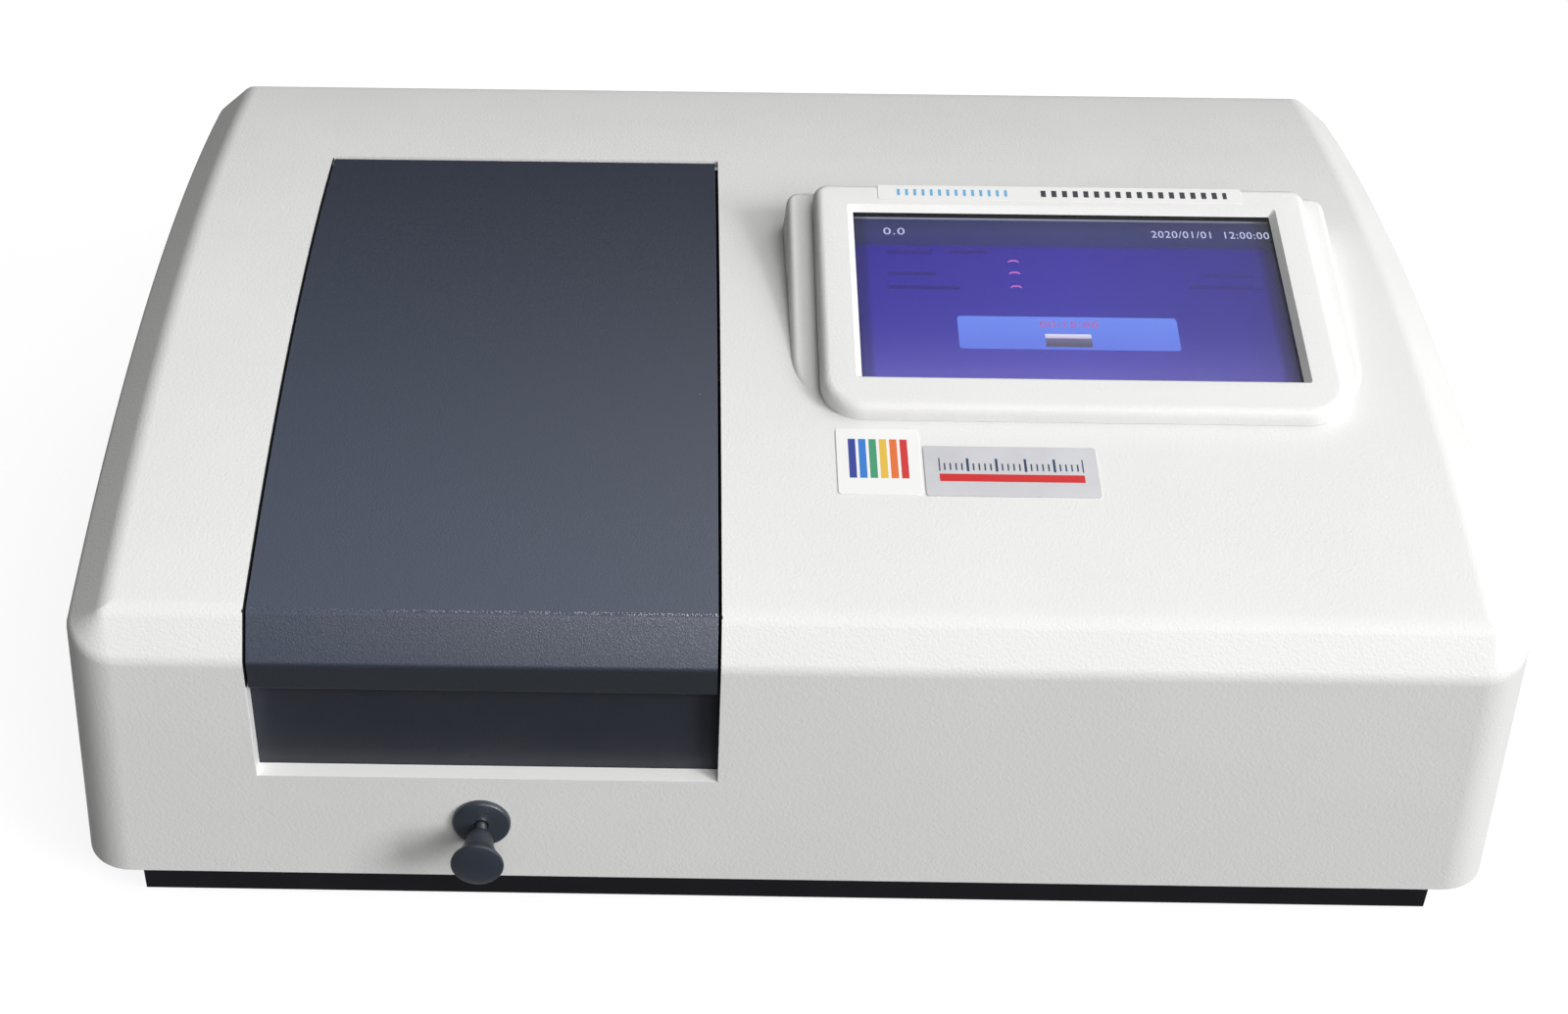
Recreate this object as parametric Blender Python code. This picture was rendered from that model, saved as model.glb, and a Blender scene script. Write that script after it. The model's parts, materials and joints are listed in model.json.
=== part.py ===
"""Bench spectrophotometer, built as separate named sub-parts in their real places.

Sizes are in millimetres and are turned into Blender's metres where each mesh is made.
X runs to the right and Z up. In the numbers below Y is measured back from the front
wall; BODY_SHIFT then moves everything so that the world origin lies on the bench,
under the middle of the whole instrument.
"""

import math

import bmesh
import bpy
from mathutils import Matrix, Vector

MM = 0.001
GAP = 0.3  # between pieces that touch

# Body
BODY_WIDTH = 600.0  # at the top of the side walls
WALL_FLARE = 7.5  # how much farther out each side wall stands at its lower edge
BODY_DEPTH = 430.0
KNOB_REACH = 28.0  # how far the pull knob stands out of the front wall
BODY_SHIFT = (KNOB_REACH - BODY_DEPTH) / 2
WALL = 3.5
CORNER_RADIUS = 22.0
COVER_LOW = 21.2  # lower edge of the cover
FRONT_WALL_TOP = 140.8
END_BEVEL = 12.0  # depth of the bevel along the front and rear edges
END_BEVEL_DROP = 18.7
SIDE_BEVEL = 18.0
SIDE_BEVEL_DROP = 14.1
CREASE_FRONT = FRONT_WALL_TOP + END_BEVEL_DROP
ARCH_RISE = 21.4
REAR_RISE = 33.9  # how much higher the rear crease is than the front one
BASE_HALF_WIDTH = 281.0
BASE_LOW = 8.0
FOOT_RADIUS = 15.0

# Sample compartment
OPEN_LEFT = -225.7
OPEN_RIGHT = -31.1
OPEN_REAR = 323.0
OPEN_LOW = 78.6
RETURN_DEPTH = 7.4  # how far the opening's edge is folded in
LID_GAP = 0.9
LID_LIP_LOW = 127.6
LID_SKIN = 3.5
BARREL_RADIUS = 3.0
HINGE_Y = OPEN_REAR - 0.7 - BARREL_RADIUS
TUB_FLOOR = 34.3
ROD_X = -131.0
ROD_Z = 54.1
ROD_RADIUS = 2.5
CELL_PITCH = 20.0
CELL_COUNT = 4
FIRST_CELL_Y = 110.0
BEAM_Z = 66.0

# Display
DISPLAY_X = 128.0
DISPLAY_TILT = math.radians(15.4)
WINDOW_LOW_Y = 132.3
WINDOW_LOW_Z = 197.4
WINDOW_HALF = 99.0
WINDOW_HEIGHT = 106.3
BEZEL_HALF = 115.0
BEZEL_BELOW = 18.5
BEZEL_ABOVE = 15.2
BEZEL_DEPTH = 10.0
GLASS_DEPTH = 2.8

# Monochromator and drive
SLIT_X = 20.0
COLLIMATOR = (SLIT_X, 80.0)
FOCUSER = (126.0, FIRST_CELL_Y)
GRATING_X = 85.0
GRATING_Y = 222.0
SINE_ARM = 60.0
ARM_START = math.radians(10.5)
SCREW_Z = 62.0
SCREW_Y = GRATING_Y + SINE_ARM * math.cos(ARM_START)
ARM_PIN_X = GRATING_X - SINE_ARM * math.sin(ARM_START)
FILTER_Z = BEAM_Z + 15.0
LAMP_Y = 366.0

# Rear
PANEL_Y = BODY_DEPTH - WALL - GAP - 2.0
FAN_X = 10.0
FAN_Z = 72.0
POWER_X = 245.0
SWITCH_Z = 95.0
INLET_Z = 60.0

COLOURS = {
    "cover_white": ((0.78, 0.78, 0.75), 0.45, 0.0),
    "lid_slate": ((0.055, 0.065, 0.085), 0.45, 0.0),
    "panel_dark": ((0.022, 0.024, 0.032), 0.5, 0.0),
    "base_black": ((0.008, 0.008, 0.012), 0.5, 0.0),
    "steel": ((0.55, 0.55, 0.56), 0.3, 1.0),
    "aluminium": ((0.6, 0.61, 0.62), 0.4, 1.0),
    "black_anodised": ((0.012, 0.012, 0.013), 0.5, 0.3),
    "rubber": ((0.015, 0.015, 0.015), 0.9, 0.0),
    "black_plastic": ((0.015, 0.015, 0.016), 0.45, 0.0),
    "screen_blue": ((0.06, 0.05, 0.35), 0.1, 0.0),
    "glass": ((0.75, 0.8, 0.82), 0.05, 0.0),
    "mirror": ((0.9, 0.9, 0.9), 0.05, 1.0),
    "board_green": ((0.02, 0.12, 0.05), 0.5, 0.0),
    "brass": ((0.6, 0.42, 0.15), 0.35, 1.0),
    "label_white": ((0.85, 0.85, 0.84), 0.4, 0.0),
    "label_grey": ((0.42, 0.42, 0.44), 0.4, 0.0),
}


# ---------------------------------------------------------------- mesh helpers


def world(point):
    x, y, z = point
    return Vector((x, y + BODY_SHIFT, z)) * MM


def new_object(name, mesh_builder, origin):
    """An object at origin whose mesh keeps the world places that the builder gave it."""
    bmesh.ops.recalc_face_normals(mesh_builder, faces=mesh_builder.faces)
    bmesh.ops.translate(mesh_builder, verts=mesh_builder.verts, vec=-origin)
    mesh = bpy.data.meshes.new(name)
    mesh_builder.to_mesh(mesh)
    mesh_builder.free()
    obj = bpy.data.objects.new(name, mesh)
    obj.matrix_world = Matrix.Translation(origin)
    bpy.context.scene.collection.objects.link(obj)
    return obj


def loft(name, rings, joined_ends=False):
    """A closed solid through rings of equally many points, capped or joined end to end."""
    builder = bmesh.new()
    loops = [[builder.verts.new(world(point)) for point in ring] for ring in rings]
    pairs = list(zip(loops, loops[1:]))
    if joined_ends:
        pairs.append((loops[-1], loops[0]))
    else:
        builder.faces.new(loops[0])
        builder.faces.new(loops[-1])
    for lower, upper in pairs:
        for i in range(len(lower)):
            j = (i + 1) % len(lower)
            builder.faces.new((lower[i], lower[j], upper[j], upper[i]))
    low = Vector(min(v.co[k] for v in builder.verts) for k in range(3))
    high = Vector(max(v.co[k] for v in builder.verts) for k in range(3))
    return new_object(name, builder, (low + high) / 2)


def prism(name, axis, outline, low, high):
    """An outline in the plane across the axis, drawn out from low to high along it."""
    place = {
        "X": lambda a, b, along: (along, a, b),
        "Y": lambda a, b, along: (a, along, b),
        "Z": lambda a, b, along: (a, b, along),
    }[axis]
    return loft(name, [[place(a, b, along) for a, b in outline] for along in (low, high)])


def box(name, x, y, z):
    return prism(name, "Z", [(x[0], y[0]), (x[1], y[0]), (x[1], y[1]), (x[0], y[1])], *z)


def circle(radius, steps, centre=(0.0, 0.0)):
    angles = [2 * math.pi * i / steps for i in range(steps)]
    return [(centre[0] + radius * math.cos(a), centre[1] + radius * math.sin(a)) for a in angles]


def turned(name, axis, centre, profile, steps=24, hollow=False):
    """A profile of (radius, place along the axis) turned about the axis through centre."""
    place = {
        "X": lambda a, b, along: (along, centre[0] + a, centre[1] + b),
        "Y": lambda a, b, along: (centre[0] + a, along, centre[1] + b),
        "Z": lambda a, b, along: (centre[0] + a, centre[1] + b, along),
    }[axis]
    rings = [[place(a, b, along) for a, b in circle(radius, steps)] for radius, along in profile]
    obj = loft(name, rings, joined_ends=hollow)
    shade_round(obj)
    return obj


def rod(name, axis, centre, radius, low, high, steps=24):
    return turned(name, axis, centre, [(radius, low), (radius, high)], steps)


def tube(name, axis, centre, outer, inner, low, high, steps=24):
    profile = [(inner, low), (outer, low), (outer, high), (inner, high)]
    return turned(name, axis, centre, profile, steps, hollow=True)


def shade_round(obj):
    obj.data.shade_smooth()
    obj.data.set_sharp_from_angle(angle=math.radians(35))


def combine(obj, operation, *others):
    """Joins the other solids to obj, or cuts it with them, and removes them."""
    for other in others:
        modifier = obj.modifiers.new(other.name, "BOOLEAN")
        modifier.operation = operation
        modifier.solver = "EXACT"
        modifier.object = other
    bpy.context.view_layer.update()
    graph = bpy.context.evaluated_depsgraph_get()
    result = bpy.data.meshes.new_from_object(obj.evaluated_get(graph))
    obj.modifiers.clear()
    obj.data = result
    for other in others:
        bpy.data.objects.remove(other)
    return obj


def join(obj, *others):
    return combine(obj, "UNION", *others)


def cut(obj, *others):
    return combine(obj, "DIFFERENCE", *others)


def turn(obj, angle, axis, point):
    """Turns obj by angle about the axis through a point given like the other places."""
    pivot = Matrix.Translation(world(point))
    obj.matrix_world = pivot @ Matrix.Rotation(angle, 4, axis) @ pivot.inverted() @ obj.matrix_world
    return obj


def finish(obj, colour):
    """Gives a finished sub-part its material."""
    material = bpy.data.materials.get(colour)
    if material is None:
        rgb, roughness, metallic = COLOURS[colour]
        material = bpy.data.materials.new(colour)
        material.use_nodes = True
        shader = material.node_tree.nodes["Principled BSDF"]
        shader.inputs["Base Color"].default_value = (*rgb, 1.0)
        shader.inputs["Roughness"].default_value = roughness
        shader.inputs["Metallic"].default_value = metallic
    obj.data.materials.clear()
    obj.data.materials.append(material)
    return obj


def moved_by(axis_name, place, *objects):
    """Parents the pieces of one moving body to an empty on its joint's axis."""
    empty = bpy.data.objects.new(axis_name, None)
    empty.location = world(place)
    bpy.context.scene.collection.objects.link(empty)
    bpy.context.view_layer.update()
    for obj in objects:
        obj.parent = empty
        obj.matrix_parent_inverse = empty.matrix_world.inverted()


# ------------------------------------------------------------- shared surfaces


def top_z(y):
    """Height of the arched top, which is level from side to side."""
    t = (y - END_BEVEL) / (BODY_DEPTH - 2 * END_BEVEL)
    return CREASE_FRONT + ARCH_RISE * 4 * t * (1 - t) + REAR_RISE * t


def arch(start, end, drop, steps):
    """Points (y, z) along the arched top from start to end, lowered by drop."""
    places = [start + (end - start) * i / steps for i in range(steps + 1)]
    return [(y, top_z(y) - drop) for y in places]


HINGE_Z = top_z(HINGE_Y) - BARREL_RADIUS


def body_block(name, inset, low):
    """The body's outer form as one solid, drawn in all round by inset.

    Each side of the plan gives three points one above the other: on the lower edge, on
    the top of the wall, and on the crease where the bevel meets the arched top.
    """
    half = BODY_WIDTH / 2 - inset
    radius = CORNER_RADIUS - inset
    front = inset
    rear = BODY_DEPTH - inset
    crease_half = BODY_WIDTH / 2 - SIDE_BEVEL - inset / 2
    crease_front = END_BEVEL + inset / 2
    crease_rear = BODY_DEPTH - END_BEVEL - inset / 2
    side_steps = 18
    corner_steps = 5
    lowered = 0.6 * inset

    def wall_top(y):
        return top_z(y) - SIDE_BEVEL_DROP - lowered

    def corner(y_tangent, end_top, crease_y, toward_rear):
        """The right-hand corner's points from the end wall's tangent to the side wall's."""
        points = []
        for i in range(corner_steps):
            angle = math.pi / 2 * i / corner_steps
            x = half - radius + radius * math.sin(angle)
            reach = radius * (1 - math.cos(angle))
            y = rear - reach if toward_rear else front + reach
            share = 0.5 - 0.5 * math.cos(2 * angle)
            z = end_top + (wall_top(y_tangent) - end_top) * share
            points.append(((x, y), z, (crease_half, crease_y, top_z(crease_y) - inset)))
        return points

    rear_top = top_z(BODY_DEPTH - END_BEVEL) - END_BEVEL_DROP - lowered
    right = corner(front + radius, FRONT_WALL_TOP - lowered, crease_front, False)
    span = rear - front - 2 * radius
    for i in range(side_steps + 1):
        y = front + radius + span * i / side_steps
        right.append(((half, y), wall_top(y), (crease_half, y, top_z(y) - inset)))
    right += reversed(corner(rear - radius, rear_top, crease_rear, True))

    builder = bmesh.new()
    columns = []
    for side in (1, -1):
        crease = {}
        column = []
        for (x, y), z, (cx, cy, cz) in right:
            if cy not in crease:
                crease[cy] = builder.verts.new(world((side * cx, cy, cz)))
            flare = WALL_FLARE * (z - low) / (z - COVER_LOW)
            lower = builder.verts.new(world((side * (x + flare), y, low)))
            upper = builder.verts.new(world((side * x, y, z)))
            column.append((lower, upper, crease[cy]))
        columns.append(column)
    right_column, left_column = columns
    ring = right_column + left_column[::-1]
    for i, (lower, upper, ridge) in enumerate(ring):
        next_lower, next_upper, next_ridge = ring[(i + 1) % len(ring)]
        builder.faces.new((lower, next_lower, next_upper, upper))
        if ridge is next_ridge:
            builder.faces.new((upper, next_upper, ridge))
        else:
            builder.faces.new((upper, next_upper, next_ridge, ridge))
    builder.faces.new([lower for lower, upper, ridge in ring])
    for a, b, c, d in zip(right_column, right_column[1:], left_column, left_column[1:]):
        if a[2] is not b[2]:
            builder.faces.new((a[2], b[2], d[2], c[2]))
    return new_object(name, builder, world((0, BODY_DEPTH / 2, low)))


def display_point(x, up, depth):
    """A place given by x, the way up the display's slope, and the depth below its face."""
    y = WINDOW_LOW_Y + up * math.cos(DISPLAY_TILT) + depth * math.sin(DISPLAY_TILT)
    z = WINDOW_LOW_Z + up * math.sin(DISPLAY_TILT) - depth * math.cos(DISPLAY_TILT)
    return (DISPLAY_X + x, y, z)


def rounded_outline(half, low, high, low_radius, high_radius, steps=5):
    """A rectangle with round corners, anticlockwise from its lower left corner."""
    corners = [
        (-half + low_radius, low + low_radius, low_radius, 180),
        (half - low_radius, low + low_radius, low_radius, 270),
        (half - high_radius, high - high_radius, high_radius, 0),
        (-half + high_radius, high - high_radius, high_radius, 90),
    ]
    points = []
    for x, y, radius, start in corners:
        for i in range(steps + 1):
            angle = math.radians(start + 90 * i / steps)
            points.append((x + radius * math.cos(angle), y + radius * math.sin(angle)))
    return points


def display_slab(name, half, low, high, radii, face, back, edge_radius=0.0, taper=0.0):
    """A slab parallel to the display's face, its upper edge rounded or its sides tapered."""
    rounds = 4 if edge_radius else 0
    rings = [(taper, back)]
    for i in range(rounds + 1):
        angle = math.pi / 2 * i / max(rounds, 1)
        inset = edge_radius * (1 - math.cos(angle))
        rings.append((inset, face + edge_radius * (1 - math.sin(angle))))
    outlines = []
    for inset, depth in rings:
        low_radius, high_radius = (max(radius - inset, 0.5) for radius in radii)
        outline = rounded_outline(half - inset, low + inset, high - inset, low_radius, high_radius)
        outlines.append([display_point(x, up, depth) for x, up in outline])
    return loft(name, outlines)


# ------------------------------------------------------------------ the casing


def pedestal(name, inset):
    """The raised seat that carries the display, down to well below the body's top."""
    top = WINDOW_HEIGHT + BEZEL_ABOVE + 4.0 - inset
    half = BEZEL_HALF + 12.0 - inset
    return display_slab(name, half, -30.0, top, (10.0, 10.0), BEZEL_DEPTH + inset, 60.0, 5.0)


def top_cover():
    cover = join(body_block("top_cover", 0.0, COVER_LOW), pedestal("seat", 0.0))
    hollow = join(body_block("hollow", WALL, COVER_LOW - 5), pedestal("seat_hollow", WALL))
    cut(cover, hollow)
    rim = body_block("rim", WALL / 2, COVER_LOW)
    cut(rim, body_block("rim_hollow", RETURN_DEPTH, COVER_LOW - 5))
    around = box(
        "around",
        (OPEN_LEFT - WALL, OPEN_RIGHT + WALL),
        (-10, OPEN_REAR + WALL),
        (OPEN_LOW - WALL, 300),
    )
    combine(rim, "INTERSECT", around)
    join(cover, rim)
    flange = body_block("flange", WALL / 2, COVER_LOW + 0.4)
    half = BODY_WIDTH / 2 + WALL_FLARE
    combine(flange, "INTERSECT", box("slab", (-half, half), (-10, BODY_DEPTH + 10), (0, COVER_LOW + 3.4)))
    cut(flange, box("between", (-268, 268), (-10, BODY_DEPTH + 10), (0, 40)))
    join(cover, flange)
    cut(
        cover,
        box("opening", (OPEN_LEFT, OPEN_RIGHT), (-10, OPEN_REAR), (OPEN_LOW, 300)),
        rod("pin_hole", "X", (HINGE_Y, HINGE_Z), 1.8, OPEN_LEFT - 10, OPEN_RIGHT + 10),
        rod("rod_hole", "Y", (ROD_X, ROD_Z), 5.0, -5, 10),
        box("rear_cutout", (-45, 270), (BODY_DEPTH - 8, BODY_DEPTH + 5), (31, 121)),
        display_slab("display_hole", 104, -5, 112, (3, 3), 5, 80),
    )
    finish(cover, "cover_white")


def display():
    bezel = display_slab(
        "display_bezel",
        BEZEL_HALF,
        -BEZEL_BELOW,
        WINDOW_HEIGHT + BEZEL_ABOVE,
        (23.0, 9.0),
        0.0,
        BEZEL_DEPTH - GAP,
        edge_radius=8.0,
    )
    window_cut = display_slab(
        "window",
        WINDOW_HALF + 0.6,
        -0.6,
        WINDOW_HEIGHT + 0.6,
        (1.5, 1.5),
        -1.0,
        GLASS_DEPTH,
        taper=2.9,
    )
    pocket = display_slab("pocket", 102, -3, 110, (2, 2), GLASS_DEPTH - 0.2, 20)
    cut(bezel, window_cut, pocket, body_block("body_below", -GAP, COVER_LOW))
    finish(bezel, "cover_white")
    face = GLASS_DEPTH + 0.1
    finish(display_slab("touch_glass", 101, -2, 109, (2, 2), face, face + 2), "glass")
    finish(display_slab("lcd_module", 101, -2, 109, (1, 1), face + 2.3, face + 9), "screen_blue")
    strip = display_slab("bezel_strip", 85, 110, 119.5, (0.5, 0.5), -0.55, -0.3)
    finish(strip, "label_white")


def top_label(name, left, right, front, rear, colour):
    """A thin plate that follows the arched top."""
    lower = arch(front, rear, -GAP, 4)
    upper = arch(front, rear, -GAP - 0.3, 4)
    finish(prism(name, "X", lower + upper[::-1], left, right), colour)


def base_tray():
    tray = box("base_tray", (-BASE_HALF_WIDTH, BASE_HALF_WIDTH), (2.5, 427.5), (BASE_LOW, COVER_LOW - GAP))
    inner = BASE_HALF_WIDTH - 2
    cut(tray, box("tray_inside", (-inner, inner), (4.5, 425.5), (BASE_LOW + 2, 40)))
    slots = [box(f"slot{i}", (-60 + 12 * i, -54 + 12 * i), (340, 395), (0, 20)) for i in range(12)]
    cut(tray, *slots)
    finish(tray, "base_black")


def feet():
    profile = [
        (FOOT_RADIUS - 2, 0),
        (FOOT_RADIUS, 1.5),
        (FOOT_RADIUS + 1, BASE_LOW - 2),
        (FOOT_RADIUS - 1, BASE_LOW - GAP),
    ]
    for end, y in (("front", 45.0), ("rear", BODY_DEPTH - 45.0)):
        for side, x in (("left", -235.0), ("right", 235.0)):
            finish(turned(f"foot_{end}_{side}", "Z", (x, y), profile), "rubber")


# ------------------------------------------------------- the sample compartment


def lid_outline():
    """The lid's section from front to rear, with a round hinge barrel along its rear edge."""
    crease = (END_BEVEL, CREASE_FRONT)
    outer = [(0, LID_LIP_LOW), (0, FRONT_WALL_TOP), crease] + arch(30, HINGE_Y, 0, 14)
    barrel = []
    for i in range(1, 9):
        angle = math.pi / 2 - math.pi * i / 8
        barrel.append((HINGE_Y + BARREL_RADIUS * math.cos(angle), HINGE_Z + BARREL_RADIUS * math.sin(angle)))
    inner = arch(HINGE_Y - 12, 30, LID_SKIN, 13)
    front = [(14, top_z(14) - LID_SKIN - 0.5), (LID_SKIN, FRONT_WALL_TOP - 1.8), (LID_SKIN, LID_LIP_LOW)]
    return outer + barrel + inner + front


def sample_lid():
    left = OPEN_LEFT + LID_GAP
    right = OPEN_RIGHT - LID_GAP
    lid = prism("sample_lid", "X", lid_outline(), left, right)
    skirt_low = [(300, top_z(300) - 18)] + arch(290, 24, 18, 8)
    front = [(12.5, FRONT_WALL_TOP + 3.4), (6.5, FRONT_WALL_TOP + 3.4), (6.5, LID_LIP_LOW + 0.5), (1, LID_LIP_LOW + 0.5)]
    upper = [(1, FRONT_WALL_TOP - 1)] + arch(14, 300, 2, 12)
    for name, x0, x1 in (("skirt_left", left + 0.2, left + 3), ("skirt_right", right - 3, right - 0.2)):
        join(lid, prism(name, "X", skirt_low + front + upper, x0, x1))
    cut(
        lid,
        rod("hole_left", "X", (HINGE_Y, HINGE_Z), 1.8, left - 5, left + 14, 16),
        rod("hole_right", "X", (HINGE_Y, HINGE_Z), 1.8, right - 14, right + 5, 16),
    )
    moved_by("lid_axis", ((left + right) / 2, HINGE_Y, HINGE_Z), finish(lid, "lid_slate"))


def lid_pins():
    for name, x0, x1 in (
        ("lid_pin_left", OPEN_LEFT - WALL, OPEN_LEFT + 13),
        ("lid_pin_right", OPEN_RIGHT - 13, OPEN_RIGHT + WALL),
    ):
        finish(rod(name, "X", (HINGE_Y, HINGE_Z), 1.5, x0, x1, 16), "steel")


def compartment():
    left = OPEN_LEFT + LID_GAP + 4
    right = OPEN_RIGHT - LID_GAP - 4
    outline = [(14, TUB_FLOOR - 2), (310, TUB_FLOOR - 2)] + arch(310, 14, 10, 14)
    tub = prism("compartment_tub", "X", outline, left, right)
    cut(
        tub,
        box("tub_inside", (left + 2, right - 2), (16, 308), (TUB_FLOOR, 260)),
        rod("tub_rod_hole", "Y", (ROD_X, ROD_Z), 5.0, 10, 20),
        box("beam_windows", (left - 5, right + 5), (FIRST_CELL_Y - 5, FIRST_CELL_Y + 5), (56, 76)),
    )
    finish(tub, "black_anodised")
    panel = box(
        "compartment_panel",
        (OPEN_LEFT - 3, OPEN_RIGHT + 3),
        (RETURN_DEPTH + GAP, RETURN_DEPTH + GAP + 2.5),
        (OPEN_LOW - 3, LID_LIP_LOW + 7.6),
    )
    finish(panel, "panel_dark")
    for side, x in (("left", ROD_X - 20), ("right", ROD_X + 20)):
        rail = box(f"carriage_rail_{side}", (x - 4, x + 4), (22, 230), (TUB_FLOOR + GAP, TUB_FLOOR + 8.3))
        finish(rail, "steel")


def rod_guide():
    bush = tube("rod_bush", "Y", (ROD_X, ROD_Z), 4.7, ROD_RADIUS + GAP, GAP, 20)
    finish(bush, "brass")
    profile = [(3.0, -GAP), (12.5, -GAP), (12.5, -1.8), (11.5, -2.8), (3.0, -2.8)]
    plate = turned("rod_escutcheon", "Y", (ROD_X, ROD_Z), profile, 32, hollow=True)
    finish(plate, "lid_slate")


def carriage():
    """The cell carriage with its rod and knob: they slide together towards the front."""
    rear = FIRST_CELL_Y + (CELL_COUNT - 1) * CELL_PITCH + 18
    plate = box("cell_carriage", (ROD_X - 32, ROD_X + 32), (88, rear), (38, 46))
    join(plate, box("lug", (ROD_X - 8, ROD_X + 8), (88.5, 96), (44, ROD_Z + 7)))
    for x in (ROD_X - 20, ROD_X + 20):
        cut(plate, box("groove", (x - 4.4, x + 4.4), (80, rear + 5), (30, 43)))
    cut(plate, rod("lug_hole", "Y", (ROD_X, ROD_Z), ROD_RADIUS + GAP, 80, 95, 16))
    finish(plate, "aluminium")

    pocket_half = 6.55
    rack = box("cell_rack", (ROD_X - 13, ROD_X + 13), (97.5, rear - 5.5), (46 + GAP, 92))
    windows_low = 58
    side_cut = [
        box("side_left", (ROD_X - 20, ROD_X - pocket_half), (90, rear), (windows_low, 100)),
        box("side_right", (ROD_X + pocket_half, ROD_X + 20), (90, rear), (windows_low, 100)),
    ]
    for i in range(CELL_COUNT):
        y = FIRST_CELL_Y + i * CELL_PITCH
        side_cut.append(
            box(
                f"pocket{i}",
                (ROD_X - pocket_half, ROD_X + pocket_half),
                (y - pocket_half, y + pocket_half),
                (50.3, 100),
            )
        )
    for i in range(CELL_COUNT):
        y = FIRST_CELL_Y + i * CELL_PITCH
        side_cut.append(
            box(f"slot{i}", (ROD_X - 20, ROD_X + 20), (y - pocket_half, y + pocket_half), (windows_low, 100))
        )
    cut(rack, *side_cut)
    finish(rack, "black_anodised")

    pull_rod = finish(rod("pull_rod", "Y", (ROD_X, ROD_Z), ROD_RADIUS, -15, 94), "steel")
    stem = [(3.6, -8), (5.0, -8.8), (6.2, -11), (6.3, -15), (7.0, -19), (9.0, -23)]
    head = [(11.0, -25), (11.25, -26), (10.4, -27.4), (6.0, -KNOB_REACH)]
    knob = turned("pull_knob", "Y", (ROD_X, ROD_Z), stem + head, 32)
    cut(knob, rod("knob_hole", "Y", (ROD_X, ROD_Z), ROD_RADIUS + GAP, -16, 0))
    finish(knob, "lid_slate")
    moved_by("carriage_axis", (ROD_X, 0, ROD_Z), plate, rack, pull_rod, knob)


# ------------------------------------------------------------ the optical bench


def optical_base():
    plate = box("optical_base", (-288, 158), (36, 402), (25.2, 32))
    for x in (-250, 120):
        for y in (50, 370):
            join(plate, box("leg", (x, x + 24), (y, y + 24), (BASE_LOW + 2 + GAP, 26)))
    finish(plate, "aluminium")


def detector():
    y = FIRST_CELL_Y
    housing = box("detector_housing", (-284, -224), (y - 30, y + 30), (32 + GAP, 100))
    cut(
        housing,
        box("inside", (-300, -227), (y - 27, y + 27), (36, 97)),
        rod("window", "X", (y, BEAM_Z), 7, -230, -220),
    )
    finish(housing, "black_anodised")
    board = box("detector_board", (-280, -278.4), (y - 26, y + 26), (37, 96))
    join(board, rod("cell", "X", (y, BEAM_Z), 8, -279, -272))
    finish(board, "board_green")


def monochromator():
    case = box("monochromator_case", (-27, 152), (62, 302), (32 + GAP, 102))
    cut(
        case,
        box("inside", (-24, 149), (65, 299), (35.3, 120)),
        rod("exit_hole", "X", (FIRST_CELL_Y, BEAM_Z), 6, -30, -20),
        rod("entrance_hole", "Y", (SLIT_X, BEAM_Z), 6, 290, 310),
        rod("screw_hole", "X", (SCREW_Y, SCREW_Z), 5, 145, 160),
    )
    finish(case, "aluminium")
    finish(box("monochromator_cover", (-27, 152), (62, 302), (102 + GAP, 105)), "aluminium")

    entrance = box("entrance_slit", (SLIT_X - 12, SLIT_X + 12), (302.3, 304.3), (54, 78))
    cut(entrance, box("gap", (SLIT_X - 0.5, SLIT_X + 0.5), (300, 310), (61, 71)))
    finish(entrance, "black_anodised")
    exit_slit = box("exit_slit", (-29.5, -27.3), (FIRST_CELL_Y - 12, FIRST_CELL_Y + 12), (54, 78))
    cut(exit_slit, box("gap", (-35, -20), (FIRST_CELL_Y - 0.5, FIRST_CELL_Y + 0.5), (61, 71)))
    finish(exit_slit, "black_anodised")


def facing(place, first, second):
    """The angle from +Y of a mirror at place that sends light from first to second."""
    along = sum(
        ((Vector(end) - Vector(place)).normalized() for end in (first, second)),
        Vector((0.0, 0.0)),
    )
    return math.atan2(-along.x, along.y)


def mirror_on_mount(name, place, first, second):
    """A square mirror turned to send light from first to second, with its bracket behind it."""
    x, y = place
    angle = facing(place, first, second)
    mirror = box(f"{name}_mirror", (x - 18, x + 18), (y - 6, y), (48, 84))
    finish(turn(mirror, angle, "Z", (x, y, 0)), "mirror")
    mount = box(f"{name}_mount", (x - 14, x + 14), (y - 10, y - 6 - GAP), (35.6, 80))
    join(mount, box("foot", (x - 14, x + 14), (y - 9, y + 8), (35.6, 40)))
    finish(turn(mount, angle, "Z", (x, y, 0)), "black_anodised")


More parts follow.
